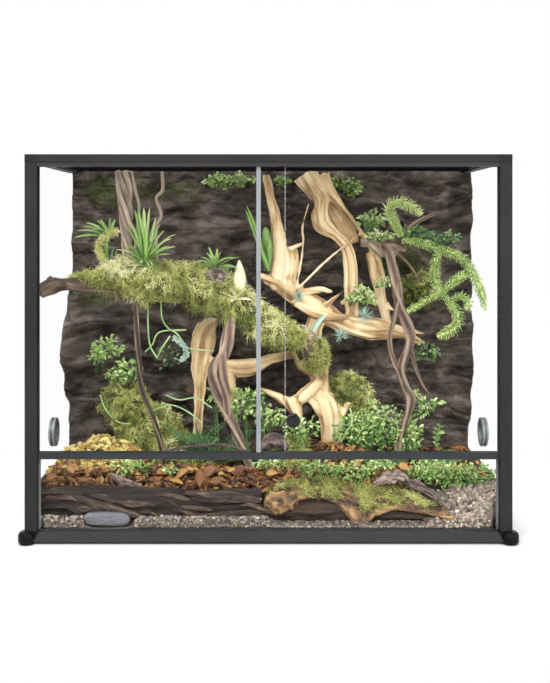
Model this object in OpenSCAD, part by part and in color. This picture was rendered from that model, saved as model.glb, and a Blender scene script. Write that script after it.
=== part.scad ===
// Planted reptile terrarium: a bonded glass box in a black base and top rim, with two
// posts and a pair of sliding doors at the front, side vents, a cylinder lock, a
// lift-off mesh top, and a landscape of rock, driftwood, soil and plants.
// Origin: centre of the footprint, on the floor. +X right, +Y to the rear, +Z up.

/* [Enclosure] */
// Width over the two front posts
body_w = 1000; // [900:10:1200]
// Depth from the posts' front face to the rear of the frame
body_d = 500; // [460:10:600]
// Height from the floor to the top of the rim
body_h = 800; // [740:10:900]

/* [Frame] */
// Front face width of a post
post_w = 25; // [24:1:32]
// Depth of a post, front to back
post_d = 30; // [30:1:38]
// Height of the aluminium base rail
base_rail_h = 21.5; // [20:0.5:26]
// Gap between the floor and the base rail, which the feet make
foot_h = 5; // [3:0.5:10]
// How far a foot bulges past the post's corner
foot_bulge = 14; // [10:1:18]
// Height of the top rim
rim_h = 16; // [15:0.5:20]
// Radius of a foot
foot_r = 18; // [17:0.5:22]
// Radius of the rim's corners seen from above
rim_round = 8; // [5:0.5:10]
// How far rim and base stand out past the posts
frame_proud = 1.5; // [0.5:0.5:3]
// Wall of the extruded profiles
profile_wall = 2; // [1.6:0.1:2.4]
// Depth of every groove that holds fixed glass
groove_depth = 8; // [6:0.5:9]
// Width of the ledge that carries the bottom pane and the mesh top
ledge_w = 8; // [6:0.5:12]

/* [Glass] */
// Thickness of the fixed panes
pane_t = 5; // [4:0.5:6]
// Thickness of the bottom pane
floor_t = 6; // [5:0.5:8]
// Thickness of the sliding doors
door_t = 4; // [3:0.5:5]
// Free play on each side of a pane in its groove
groove_play = 0.3; // [0.2:0.1:0.5]
// Free play on each side of a door in its track
door_play = 0.6; // [0.4:0.1:0.8]
// Leg of the silicone beads in the rear corners
bead_leg = 7; // [4:0.5:8]
// How far the side glass stands in from the post's outer face
pane_inset = 5; // [4:0.5:6]

/* [Doors] */
// Height of the lower track's underside above the floor
track_z = 173.3; // [150:1:190]
// Height of the lower track
track_h = 13.7; // [12:0.1:18]
// Depth of the lower track's door grooves
track_groove = 7.4; // [6:0.2:8]
// Height of the upper track that shows below the rim
lintel_h = 9; // [8:0.5:12]
// Setback of the front door's face from the posts' front
door_setback = 8; // [7:0.5:9]
// Clear gap between the two doors
door_gap = 5; // [4.5:0.5:6]
// Inner edge of the left door, from the middle
left_door_edge = 35; // [25:1:45]
// Inner edge of the right door's glass, from the middle
right_door_edge = -22; // [-30:1:-15]
// Travel of each door
door_travel = 430; // [350:5:440]
// Width of the seal on the right door's edge
seal_w = 9; // [7:0.5:12]

/* [Lock] */
// Radius of the lock's bezel
lock_r = 14.3; // [13:0.1:16]
// Thickness of the bezel in front of the glass
lock_bezel = 8; // [6:0.5:9]
// Radius of the sliding barrel
barrel_r = 8.5; // [7:0.1:9]
// How far the barrel stands out when the doors are free
barrel_out = 10; // [9:0.5:12]
// How far the barrel pushes in to block the doors
barrel_travel = 8; // [7:0.5:9]
// Radius of the key plug
plug_r = 5.2; // [4:0.1:5.5]
// Lock centre, from the middle of the body
lock_x = 51; // [48:1:60]
// Lock centre above the floor
lock_z = 253; // [230:1:400]

/* [Vents] */
// Outer radius of a vent's flanges
vent_r = 33; // [30:0.5:40]
// Radius of the hole in the side glass
vent_hole_r = 28; // [24:0.5:29]
// Thickness of each vent flange
vent_flange = 4.6; // [3:0.2:6]
// Vent centre above the floor
vent_z = 180; // [170:1:260]
// Vent centre behind the posts' front face
vent_depth = 262; // [200:1:300]
// Spacing of the holes in a vent's grille
vent_pitch = 5; // [4:0.5:7]

/* [Mesh top] */
// Height of the mesh top's frame
lid_h = 10; // [8:0.5:12]
// Width of the bars in the mesh top's frame
lid_bar = 16; // [12:1:22]
// Mesh openings across the width
mesh_columns = 24; // [12:2:24]
// Mesh openings front to back
mesh_rows = 12; // [6:1:12]
// Thickness of the mesh
mesh_t = 1; // [0.8:0.1:1.5]

/* [Landscape] */
// Height of the soil's surface above the floor
soil_z = 112; // [100:1:130]
// Height of the pebble strip behind the lower glass
pebble_z = 44; // [38:1:55]
// Width of the pebble strip, front to back
pebble_w = 66; // [55:1:80]
// Mean thickness of the rock background
rock_t = 58; // [45:1:75]
// Height of the rock's relief
rock_relief = 15; // [5:1:20]
// From the left pane to the middle of the boulder
boulder_from_pane = 154.6; // [80:0.1:240]

/* [Hidden] */

half_w = body_w / 2;
half_d = body_d / 2;
base_top = foot_h + base_rail_h;
rim_z = body_h - rim_h;
seat = 0.2;                      // gap left between bonded or seated faces
running_fit = 0.08;              // radial play of a part that turns or slides in a bore
plug_l = lock_bezel + barrel_out - barrel_travel - 0.6; // stays before the glass when the barrel is pushed in
fine = 96;                       // facets of a drawn circle
side_groove_at = frame_proud + pane_inset;
side_rail_w = side_groove_at + pane_t + groove_play + 4.5;
front_rail_w = post_d + frame_proud;
pane_inner_x = half_w - pane_inset - pane_t;
rear_pane_y = half_d - pane_inset - pane_t;
corner_leg = 30;                 // how far a corner piece reaches along each rail
corner_foot_leg = 15.5;          // the same at the underside of a foot
ledge_t = 2.5;
floor_z = foot_h + 4 + seat;
floor_top = floor_z + floor_t;
pane_bottom = base_top - groove_depth + groove_play;
pane_top = rim_z + groove_depth - groove_play;
rear_door_at = door_setback + door_t + door_gap;
front_glass_at = door_setback + door_t / 2 + 2;
tracks_back = rear_door_at + door_t + door_play + 1.6;
track_front = door_setback - door_play - 1.6;
door_bottom = track_z + track_h - track_groove + groove_play;
upper_groove = lintel_h + 9.3;
door_top = rim_z + 2;
post_groove = 8;
door_outer_x = half_w - post_w + post_groove - 0.6;

// Shapes shared by the frame

module bar_x(length) {
    rotate([90, 0, 90]) linear_extrude(length) children();
}

module post_profile() {
    difference() {
        square([post_w, post_d]);
        translate([profile_wall, profile_wall])
            square([post_w - post_groove - 2 * profile_wall, post_d - groove_depth - 2 * profile_wall - 0.5]);
        for (at = [door_setback, rear_door_at])
            translate([post_w - post_groove, at - door_play])
                square([post_groove + 1, door_t + 2 * door_play]);
        translate([pane_inset - groove_play, post_d - groove_depth])
            square([pane_t + 2 * groove_play, groove_depth + 1]);
    }
}

// Profile of a base rail: x from its outer face inwards, y up from its underside
module base_profile(width, groove_at) {
    difference() {
        square([width, base_rail_h]);
        translate([groove_at - groove_play, base_rail_h - groove_depth])
            square([pane_t + 2 * groove_play, groove_depth + 1]);
        translate([profile_wall, profile_wall])
            square([width - 2 * profile_wall, base_rail_h - groove_depth - 2 * profile_wall]);
    }
}

// Profile of a top rim rail, groove downwards
module rim_profile() {
    difference() {
        union() {
            square([side_rail_w, rim_h]);
            square([side_rail_w + ledge_w, ledge_t]);
        }
        translate([side_groove_at - groove_play, -1])
            square([pane_t + 2 * groove_play, groove_depth + 1]);
        translate([profile_wall, groove_depth + profile_wall])
            square([side_rail_w - 2 * profile_wall, rim_h - groove_depth - 2 * profile_wall]);
    }
}

module rim_front_profile() {
    difference() {
        union() {
            square([front_rail_w, rim_h]);
            square([front_rail_w + ledge_w, ledge_t]);
        }
        translate([profile_wall, -1]) square([front_rail_w - 2 * profile_wall, rim_h - 4]);
    }
}

// Everything of a rail past the slanted face of a foot, seen from the front, corner at x = 0
module past_slant(clear) {
    translate([0, 100, 0]) rotate([90, 0, 0]) linear_extrude(200)
        polygon([[corner_foot_leg + clear, foot_h - seat], [corner_foot_leg + clear, foot_h],
                 [corner_leg + clear, base_top], [corner_leg + clear, base_top + 20],
                 [corner_leg + 60, base_top + 20], [corner_leg + 60, foot_h - seat]]);
}

// A base rail along X with its outer face at y = 0; slanted rails meet the feet on the diagonal
module base_rail(span, width, groove_at, slanted) {
    end = slanted ? corner_foot_leg : corner_leg;
    ledge = span - 2 * corner_leg - 2 * seat;
    difference() {
        translate([-span / 2 + end + seat, 0, foot_h]) bar_x(span - 2 * end - 2 * seat)
            base_profile(width, groove_at);
        if (slanted)
            for (side = [-1, 1])
                translate([side * span / 2, 0, 0]) scale([-side, 1, 1])
                    translate([0, 100, 0]) rotate([90, 0, 0]) linear_extrude(200)
                        polygon([[corner_foot_leg + seat, foot_h - 0.01], [corner_leg + seat, base_top + 0.01],
                                 [-20, base_top + 0.01], [-20, foot_h - 0.01]]);
    }
    translate([-ledge / 2, width - 1, foot_h]) cube([ledge, ledge_w + 1, 4]);
}

module base_rail_front() {
    color("#3b3d3f") translate([0, -half_d - frame_proud, 0])
        base_rail(body_w, front_rail_w, front_glass_at + frame_proud, true);
}

module base_rail_rear() {
    color("#3b3d3f") rotate([0, 0, 180]) translate([0, -half_d - frame_proud, 0])
        base_rail(body_w, side_rail_w, side_groove_at, true);
}

module base_rail_left() {
    color("#3b3d3f") rotate([0, 0, -90]) translate([0, -half_w - frame_proud, 0])
        base_rail(body_d, side_rail_w, side_groove_at, false);
}

module base_rail_right() {
    color("#3b3d3f") rotate([0, 0, 90]) translate([0, -half_w - frame_proud, 0])
        base_rail(body_d, side_rail_w, side_groove_at, false);
}

// Grooves for the glass that runs into a corner piece, cut from z = 0 upwards
module corner_grooves(front, depth) {
    g = pane_inset - groove_play;
    w = pane_t + 2 * groove_play;
    translate([g, front ? post_d - groove_depth : g, 0]) cube([w, corner_leg + 10, depth]);
    if (!front)
        translate([g, g, 0]) cube([corner_leg + 10, w, depth]);
}

// A foot, drawn at the front left with the post's outer corner at the origin
module foot(front) {
    centre = foot_r - foot_bulge;
    width_x = front ? front_rail_w : side_rail_w;
    inside = side_rail_w - frame_proud;
    plug_h = base_rail_h - groove_depth - 2 * profile_wall - 2 * seat;
    plug_z = foot_h + profile_wall + seat;
    plug_at = profile_wall + seat - frame_proud;
    difference() {
        union() {
            translate([0, width_x - frame_proud, 0]) rotate([90, 0, 0]) linear_extrude(width_x)
                polygon([[-frame_proud, foot_h], [corner_foot_leg, foot_h],
                         [corner_leg, base_top], [-frame_proud, base_top]]);
            translate([-frame_proud, -frame_proud, foot_h])
                cube([side_rail_w, corner_leg + frame_proud, base_rail_h]);
            difference() {
                translate([centre, centre, 0]) rotate_extrude($fn = fine)
                    polygon([[0, 0], [foot_r - 6, 0], [foot_r - 2, 2], [foot_r, 7],
                             [foot_r, base_top - 8], [foot_r - 2, base_top - 3],
                             [foot_r - 6, base_top], [0, base_top]]);
                past_slant(0);
                if (!front)
                    translate([inside, inside, foot_h - seat]) cube(corner_leg);
            }
            translate([5, plug_at, plug_z])
                cube([corner_leg + 20, width_x - 2 * profile_wall - 2 * seat, plug_h]);
            translate([plug_at, 5, plug_z])
                cube([side_rail_w - 2 * profile_wall - 2 * seat, corner_leg + 20, plug_h]);
        }
        translate([0, 0, base_top - groove_depth]) corner_grooves(front, groove_depth + 1);
        if (front)
            translate([post_w - 1, front_glass_at - groove_play, base_top - groove_depth])
                cube([corner_leg, pane_t + 2 * groove_play, groove_depth + 1]);
    }
}

module foot_at(side, front) {
    color("#111214")
        translate([side * half_w, (front ? -1 : 1) * half_d, 0])
            scale([-side, front ? 1 : -1, 1]) union() {
                foot(front);
                if (front) foot_plug_in_post();
            }
}

module foot_plug_in_post() {
    translate([profile_wall + seat, profile_wall + seat, base_top - 1])
        cube([post_w - post_groove - 2 * profile_wall - 2 * seat,
              post_d - groove_depth - 2 * profile_wall - 0.5 - 2 * seat, 31]);
}

module post(side) {
    color("#3b3d3f") translate([side * half_w, -half_d, base_top + seat]) scale([-side, 1, 1])
        linear_extrude(rim_z - base_top - 2 * seat) post_profile();
}

// Top rim

module rim_rail_front() {
    color("#3b3d3f") translate([-half_w + corner_leg + seat, -half_d - frame_proud, rim_z])
        bar_x(body_w - 2 * corner_leg - 2 * seat) rim_front_profile();
}

module rim_rail(span, out) {
    translate([-span / 2 + corner_leg + seat, -out - frame_proud, rim_z])
        bar_x(span - 2 * corner_leg - 2 * seat) rim_profile();
}

module rim_rail_rear() {
    color("#3b3d3f") rotate([0, 0, 180]) rim_rail(body_w, half_d);
}

module rim_rail_left() {
    color("#3b3d3f") rotate([0, 0, -90]) rim_rail(body_d, half_w);
}

module rim_rail_right() {
    color("#3b3d3f") rotate([0, 0, 90]) rim_rail(body_d, half_w);
}

// A rim corner, drawn at the front left with the post's outer corner at the origin
module rim_corner(front) {
    size = corner_leg + frame_proud;
    width_x = front ? front_rail_w : side_rail_w;
    plug_z = groove_depth + profile_wall + seat;
    plug_h = rim_h - groove_depth - 2 * profile_wall - 2 * seat;
    plug_w = side_rail_w - 2 * profile_wall - 6;
    difference() {
        translate([-frame_proud, -frame_proud, 0]) linear_extrude(rim_h) union() {
            translate([rim_round, rim_round]) circle(rim_round, $fn = fine);
            translate([rim_round, 0]) square([size - rim_round, width_x]);
            translate([0, rim_round]) square([side_rail_w, size - rim_round]);
        }
        translate([0, 0, -1]) corner_grooves(front, groove_depth + 1);
        if (front)
            translate([post_w - post_groove - seat, profile_wall - frame_proud, -1])
                cube([size, front_rail_w - 2 * profile_wall, rim_h - 3]);
    }
    translate([profile_wall + 3 - frame_proud, corner_leg - 4, plug_z]) cube([plug_w, 24, plug_h]);
    if (!front)
        translate([corner_leg - 4, profile_wall + 3 - frame_proud, plug_z]) cube([24, plug_w, plug_h]);
}

module rim_corner_at(side, front) {
    color("#333537") translate([side * half_w, (front ? -1 : 1) * half_d, rim_z])
        scale([-side, front ? 1 : -1, 1]) rim_corner(front);
}

// Door tracks

module upper_track() {
    back = front_rail_w - frame_proud - profile_wall - seat;
    color("#2b2c2e") translate([-half_w + post_w + seat, -half_d, rim_z - lintel_h])
        bar_x(body_w - 2 * post_w - 2 * seat) difference() {
            translate([0.8, 0]) square([back - 0.8, lintel_h + rim_h - 5.2]);
            for (at = [door_setback, rear_door_at])
                translate([at - door_play, -1]) square([door_t + 2 * door_play, upper_groove + 1]);
        }
}

module lower_track() {
    color("#2f3133") translate([-half_w + post_w + seat, -half_d, track_z])
        bar_x(body_w - 2 * post_w - 2 * seat) difference() {
            translate([track_front, 0]) square([tracks_back - track_front, track_h]);
            for (at = [door_setback, rear_door_at])
                translate([at - door_play, track_h - track_groove])
                    square([door_t + 2 * door_play, track_groove + 1]);
            translate([front_glass_at - groove_play, -1]) square([pane_t + 2 * groove_play, 6]);
        }
}

// Glass

module side_glass(side) {
    color([0.8, 0.9, 0.88, 0.25]) difference() {
        translate([side > 0 ? pane_inner_x : -pane_inner_x - pane_t,
                   -half_d + post_d - groove_depth + groove_play, pane_bottom])
            cube([pane_t, body_d - post_d + groove_depth - groove_play - pane_inset, pane_top - pane_bottom]);
        translate([side * (pane_inner_x + pane_t / 2), -half_d + vent_depth, vent_z])
            rotate([0, 90, 0]) cylinder(r = vent_hole_r, h = pane_t + 2, center = true, $fn = fine);
    }
}

module glass_rear() {
    color([0.8, 0.9, 0.88, 0.25]) translate([-pane_inner_x + seat, rear_pane_y, pane_bottom])
        cube([2 * pane_inner_x - 2 * seat, pane_t, pane_top - pane_bottom]);
}

module glass_floor() {
    x = half_w + frame_proud - side_rail_w - seat;
    front = -half_d + front_rail_w - frame_proud + seat;
    color([0.8, 0.9, 0.88, 0.25]) translate([-x, front, floor_z])
        cube([2 * x, half_d + frame_proud - side_rail_w - seat - front, floor_t]);
}

module glass_front_lower() {
    x = half_w - post_w - seat;
    color([0.8, 0.9, 0.88, 0.25]) translate([-x, -half_d + front_glass_at, pane_bottom])
        cube([2 * x, pane_t, track_z + 5 - seat - pane_bottom]);
}

// One silicone fillet: a concave corner bead of leg length a
module bead(a, length) {
    linear_extrude(length) difference() {
        square([a, a]);
        translate([a, a]) circle(a * 0.98, $fn = fine);
    }
}

module silicone_beads() {
    a = bead_leg;
    x = pane_inner_x - seat;
    z = base_top + seat;
    gap = seat / 2;
    color("#1c1d1e") {
        for (side = [-1, 1]) {
            translate([side * x, rear_pane_y - seat, z]) scale([-side, -1, 1]) bead(a, rim_z - z - seat);
            translate([side * (half_w - post_w - gap), -half_d + front_glass_at + pane_t + seat, z])
                scale([-side, 1, 1]) bead(5, track_z - z - seat);
        }
    }
}

// Doors

module door_left() {
    color([0.8, 0.9, 0.88, 0.25]) translate([-door_outer_x, -half_d + rear_door_at, door_bottom])
        cube([door_outer_x + left_door_edge, door_t, door_top - door_bottom]);
}

module door_right() {
    color([0.8, 0.9, 0.88, 0.25]) difference() {
        translate([right_door_edge, -half_d + door_setback, door_bottom])
            cube([door_outer_x - right_door_edge, door_t, door_top - door_bottom]);
        translate([lock_x, -half_d + door_setback - 1, lock_z]) rotate([-90, 0, 0])
            cylinder(r = barrel_r + 2.4, h = door_t + 2, $fn = fine);
    }
}

module door_edge_seal() {
    lip = 1.3;
    low = track_z + track_h + 0.5;
    high = rim_z - lintel_h - 0.5;
    color("#d9dde2") translate([right_door_edge - 3, -half_d + door_setback, low])
        linear_extrude(high - low) difference() {
            translate([0, -lip]) square([seal_w, door_t + 2 * lip]);
            translate([3 - 0.1, -0.1]) square([seal_w, door_t + 0.2]);
        }
}

// Lock on the right door: its barrel slides in behind the left door's edge

module lock_axis() {
    translate([lock_x, -half_d, lock_z]) rotate([-90, 0, 0]) children();
}

module lock_body() {
    bore = barrel_r + running_fit;
    front = door_setback - lock_bezel;
    back = door_setback + door_t + 3;
    color("#0d0e10") lock_axis() difference() {
        union() {
            translate([0, 0, front]) rotate_extrude($fn = fine)
                polygon([[0, 0], [lock_r - 1.6, 0], [lock_r - 0.5, 0.6], [lock_r, 1.8], [lock_r, lock_bezel - seat],
                         [0, lock_bezel - seat]]);
            translate([0, 0, front + 1]) cylinder(r = barrel_r + 2.2, h = back - front - 1, $fn = fine);
        }
        translate([0, 0, front - 1]) cylinder(r = bore, h = back - front + 2, $fn = fine);
    }
}

module lock_nut() {
    color("#2a2b2d") lock_axis() translate([0, 0, door_setback + door_t + seat]) difference() {
        cylinder(r = 15, h = 2.6, $fn = 6);
        translate([0, 0, -1]) cylinder(r = barrel_r + 2.3, h = 5, $fn = fine);
    }
}

module lock_barrel() {
    front = door_setback - lock_bezel - barrel_out;
    back = door_setback + door_t + 2.8;
    color("#1a1b1e") lock_axis() difference() {
        translate([0, 0, front]) rotate_extrude($fn = fine)
            polygon([[0, 0], [barrel_r - 0.8, 0], [barrel_r, 0.8], [barrel_r, back - front], [0, back - front]]);
        translate([0, 0, front - 1]) cylinder(r = plug_r + running_fit, h = plug_l + 1, $fn = fine);
    }
}

module lock_key_plug() {
    front = door_setback - lock_bezel - barrel_out;
    slot_w = 1.4;
    color("#8d9094") lock_axis() translate([0, 0, front - 0.2]) difference() {
        cylinder(r = plug_r, h = plug_l, $fn = fine);
        translate([-slot_w / 2, -plug_r * 0.7, -1]) cube([slot_w, plug_r * 1.4, plug_l - 1]);
    }
}

// Vents in the side panes

module vent_axis(side) {
    translate([side * (pane_inner_x + pane_t), -half_d + vent_depth, vent_z])
        rotate([0, side * 90, 0]) children();
}

module vent_flange_part(side) {
    neck_r = vent_hole_r - 0.3;
    color("#7b7e80") vent_axis(side) difference() {
        union() {
            translate([0, 0, seat]) rotate_extrude($fn = fine)
                polygon([[0, 0], [vent_r, 0], [vent_r, vent_flange - 1.5], [vent_r - 1.5, vent_flange], [0, vent_flange]]);
            translate([0, 0, -pane_t - vent_flange - seat]) cylinder(r = neck_r, h = pane_t + vent_flange + 2 * seat, $fn = fine);
        }
        translate([0, 0, -pane_t - vent_flange - 5]) cylinder(r = neck_r - 2.7, h = pane_t + 3 * vent_flange + 9, $fn = fine);
    }
}

module vent_ring_part(side) {
    color("#86898b") vent_axis(side) translate([0, 0, -pane_t - seat - vent_flange]) difference() {
        rotate_extrude($fn = fine)
            polygon([[0, 0], [vent_r - 1.5, 0], [vent_r, 1.5], [vent_r, vent_flange], [0, vent_flange]]);
        translate([0, 0, -1]) cylinder(r = vent_hole_r - 0.2, h = vent_flange + 2, $fn = fine);
    }
}

module vent_grille_part(side) {
    r = vent_hole_r - 3.1;
    hole = vent_pitch * 0.6;
    count = floor(r / vent_pitch);
    color("#9a9d9e") vent_axis(side) translate([0, 0, -1]) linear_extrude(1) difference() {
        circle(r, $fn = fine);
        for (i = [-count : count], j = [-count : count])
            if (norm([i, j]) * vent_pitch < r - hole)
                translate([i * vent_pitch, j * vent_pitch]) square(hole, center = true);
    }
}

// Lift-off mesh top

lid_x = half_w + frame_proud - side_rail_w - 2 * seat;
lid_front = -half_d - frame_proud + front_rail_w + 2 * seat;
lid_rear = half_d + frame_proud - side_rail_w - 2 * seat;
lid_z = rim_z + ledge_t + seat;

module lid_frame() {
    depth = lid_rear - lid_front;
    color("#1b1c1d") translate([-lid_x, lid_front, lid_z]) linear_extrude(lid_h) difference() {
        square([2 * lid_x, depth]);
        for (half = [0, 1])
            translate([lid_bar + half * (lid_x - lid_bar / 2), lid_bar])
                square([lid_x - 1.5 * lid_bar, depth - 2 * lid_bar]);
    }
}

module lid_mesh() {
    x = lid_x - 2;
    depth = lid_rear - lid_front - 4;
    step_x = 2 * x / mesh_columns;
    step_y = depth / mesh_rows;
    wire = 1.6;
    color("#161718") translate([-x, lid_front + 2, lid_z + lid_h + seat]) linear_extrude(mesh_t) difference() {
        square([2 * x, depth]);
        for (i = [0 : mesh_columns - 1], j = [0 : mesh_rows - 1])
            translate([i * step_x + wire, j * step_y + wire]) square([step_x - 2 * wire, step_y - 2 * wire]);
    }
}

// Landscape helpers

gravel_top = 30;
soil_bottom = gravel_top + seat;
strip_rear = -half_d + post_d + pebble_w;
inner_x = pane_inner_x - 0.4;
under_x = half_w + frame_proud - side_rail_w - 0.4;
rock_back = rear_pane_y - 0.3;
rock_face = rock_back - rock_t;
ceiling_z = rim_z - 3;
rock_rows = 24;
rock_row = (ceiling_z - soil_bottom) / rock_rows;
bead_room = (bead_leg + 2 * seat) * sqrt(2);

// Smooth curve through [x, y, z, r] points, n steps between two of them
function route(p, n) = concat(
    [for (i = [0 : len(p) - 2], k = [0 : n - 1])
        let(t = k / n, a = p[max(i - 1, 0)], b = p[i], c = p[i + 1], d = p[min(i + 2, len(p) - 1)])
        0.5 * ((2 * b) + (c - a) * t + (2 * a - 5 * b + 4 * c - d) * t * t
               + (3 * b - a - 3 * c + d) * t * t * t)],
    [p[len(p) - 1]]);

function place(p) = [p[0], p[1], p[2]];

// A tapering limb along a route; flat below 1 makes it a blade with its broad side to the front
module limb(points, sides = 7, flat = 1, steps = 2) {
    path = route(points, steps);
    last = len(path) - 1;
    rings = [for (i = [0 : last])
        let(t = place(path[min(i + 1, last)]) - place(path[max(i - 1, 0)]),
            u0 = cross([0, 1, 0], t), u = u0 / norm(u0), v0 = cross(t, u), v = v0 / norm(v0))
        [for (k = [0 : sides - 1])
            place(path[i]) + path[i][3] * (u * cos(360 * k / sides) + flat * v * sin(360 * k / sides))]];
    polyhedron(
        points = [for (ring = rings) each ring],
        faces = concat(
            [[for (k = [0 : sides - 1]) k]],
            [for (i = [0 : last - 1], k = [0 : sides - 1])
                [i * sides + k, (i + 1) * sides + k, i * sides + (k + 1) % sides]],
            [for (i = [0 : last - 1], k = [0 : sides - 1])
                [i * sides + (k + 1) % sides, (i + 1) * sides + k, (i + 1) * sides + (k + 1) % sides]],
            [[for (k = [0 : sides - 1]) last * sides + sides - 1 - k]]));
}

// A leaf blade from base to tip that bows by sag
module blade(base, tip, width, sag = 0, thick = 0.22) {
    mid = (base + tip) / 2 + [0, 0, sag];
    limb([[base[0], base[1], base[2], width * 0.6], [mid[0], mid[1], mid[2], width], [tip[0], tip[1], tip[2], 0.8]],
         sides = 4, flat = thick);
}

// A small leaf: an octahedron stretched from base along reach
module leaf(base, reach, width) {
    mid = base + reach * 0.5;
    side = cross([0, 1, 0], reach) / norm(reach) * width / 2;
    polyhedron(
        points = [base, base + reach, mid + side, mid - side, mid + [0, -1.4, 0], mid + [0, 1.4, 0]],
        faces = [[0, 3, 4], [0, 4, 2], [0, 2, 5], [0, 5, 3], [1, 4, 3], [1, 2, 4], [1, 5, 2], [1, 3, 5]]);
}

// A rounded cushion with a flat underside cut by its user
module cushion(centre, size, sides = 12, rings = 6) {
    pts = [for (i = [1 : rings - 1], k = [0 : sides - 1])
        let(a = 180 * i / rings, w = 360 * k / sides, lump = 1 + 0.07 * sin(3 * w + 70 * i))
        centre + [size[0] * sin(a) * cos(w) * lump, size[1] * sin(a) * sin(w) * lump, size[2] * cos(a)]];
    n = (rings - 1) * sides;
    polyhedron(
        points = concat(pts, [centre + [0, 0, size[2]], centre - [0, 0, size[2]]]),
        faces = concat(
            [for (i = [0 : rings - 3], k = [0 : sides - 1])
                [i * sides + k, i * sides + (k + 1) % sides, (i + 1) * sides + k]],
            [for (i = [0 : rings - 3], k = [0 : sides - 1])
                [i * sides + (k + 1) % sides, (i + 1) * sides + (k + 1) % sides, (i + 1) * sides + k]],
            [for (k = [0 : sides - 1]) [n, (k + 1) % sides, k]],
            [for (k = [0 : sides - 1]) [n + 1, n - sides + k, n - sides + (k + 1) % sides]]));
}

// Joins organic shapes into one body
module grown() {
    resize([0, 0, 0]) union() children();
}

module below(z) {
    translate([-body_w, -body_d, z - 200]) cube([2 * body_w, 2 * body_d, 200]);
}

module above(z) {
    translate([-body_w, -body_d, z]) cube([2 * body_w, 2 * body_d, 200]);
}

// Ground

module drainage_layer() {
    front = -half_d + front_glass_at + pane_t + 0.4;
    shoulder = -half_d + post_d + 0.4;
    narrow = half_w - post_w - 5.8;
    low = base_top + 0.3;
    hill = [[420, pebble_z - 1], [445, pebble_z + 32], [470, pebble_z + 54], [500, pebble_z + 60],
            [500, pebble_z - 1]];
    color("#9a978f") {
        translate([-under_x, shoulder, floor_top + seat])
            cube([2 * under_x, rear_pane_y - 6 - shoulder, gravel_top - floor_top - seat]);
        translate([-inner_x, shoulder, low]) cube([2 * inner_x, strip_rear - shoulder, pebble_z - low]);
        translate([-narrow, front, low]) cube([2 * narrow, shoulder - front + 1, pebble_z - low]);
        intersection() {
            translate([0, strip_rear, 0]) rotate([90, 0, 0]) linear_extrude(strip_rear - front) polygon(hill);
            translate([0, 0, low]) linear_extrude(rim_z) polygon([
                [0, front], [narrow, front], [narrow, shoulder], [inner_x, shoulder],
                [inner_x, strip_rear], [0, strip_rear]]);
        }
    }
}

module soil() {
    color("#4a352a") translate([0, 0, soil_bottom]) linear_extrude(soil_z - soil_bottom)
        polygon(concat(
            [for (k = [0 : 24]) let(x = -inner_x + 2 * inner_x * k / 24)
                [x, strip_rear + seat + 5 * (1 - cos(k * 75))]],
            [[inner_x, rock_face - 0.3], [-inner_x, rock_face - 0.3]]));
}

// How far the rock stands in front of the rear pane at x, z
function rock_depth(x, z) =
    let(rise = min(1, max(0, (z - soil_z - rock_row) / 45)))
    rock_t + rise * (rock_relief * (sin(x * 1.3 + 60 * sin(z * 0.7)) * cos(z * 1.9) + 0.5 * sin(x * 2.7 - z * 1.1))
        + 115 * exp(-pow((half_w + x) / 45, 2) - pow((z - 345) / 95, 2))
        + 75 * exp(-pow((half_w - x) / 40, 2) - pow((z - 350) / 190, 2)));

module rock_shape() {
    nx = 34;
    nz = rock_rows;
    xs = [for (i = [0 : nx]) -inner_x + 2 * inner_x * i / nx];
    zs = [for (j = [0 : nz]) soil_bottom + (ceiling_z - soil_bottom) * j / nz];
    row = nx + 1;
    back = row * (nz + 1);
    polyhedron(
        points = concat(
            [for (z = zs, x = xs) [x, rock_back - rock_depth(x, z), z]],
            [for (x = xs) [x, rock_back, soil_bottom]],
            [for (x = xs) [x, rock_back, ceiling_z]]),
        faces = concat(
            [for (j = [0 : nz - 1], i = [0 : nx - 1])
                [j * row + i, (j + 1) * row + i, j * row + i + 1]],
            [for (j = [0 : nz - 1], i = [0 : nx - 1])
                [j * row + i + 1, (j + 1) * row + i, (j + 1) * row + i + 1]],
            [for (i = [0 : nx - 1]) [back + i, i, i + 1]],
            [for (i = [0 : nx - 1]) [back + i, i + 1, back + i + 1]],
            [for (i = [0 : nx - 1]) [nz * row + i, back + row + i, nz * row + i + 1]],
            [for (i = [0 : nx - 1]) [nz * row + i + 1, back + row + i, back + row + i + 1]],
            [concat([for (j = [0 : nz]) nz * row - j * row], [back, back + row])],
            [concat([for (j = [0 : nz]) j * row + nx], [back + row + nx, back + nx])],
            [concat([for (i = [0 : nx]) back + i], [for (i = [nx : -1 : 0]) back + row + i])]));
}

module rock_background() {
    color("#4d4340") grown() difference() {
        rock_shape();
        for (side = [-1, 1])
            translate([side * pane_inner_x, rear_pane_y, body_h / 2]) rotate([0, 0, 45])
                cube([bead_room, bead_room, body_h * 2], center = true);
    }
}

module boulder() {
    front = -half_d + front_glass_at + pane_t + 1;
    color("#6d7682") grown() difference() {
        cushion([boulder_from_pane - inner_x, front + 14, pebble_z + 2], [53, 13, 18]);
        below(pebble_z + seat);
    }
}

log_y = strip_rear - 26;

module log_left() {
    color("#41312a") grown() difference() {
        limb([[-486, log_y, pebble_z + 24, 23], [-400, log_y + 1, pebble_z + 27, 27], [-300, log_y, pebble_z + 26, 26],
              [-210, log_y + 1, pebble_z + 25, 25], [-150, log_y, pebble_z + 20, 20]], sides = 10, flat = 0.85);
        below(pebble_z + seat);
    }
}

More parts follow.
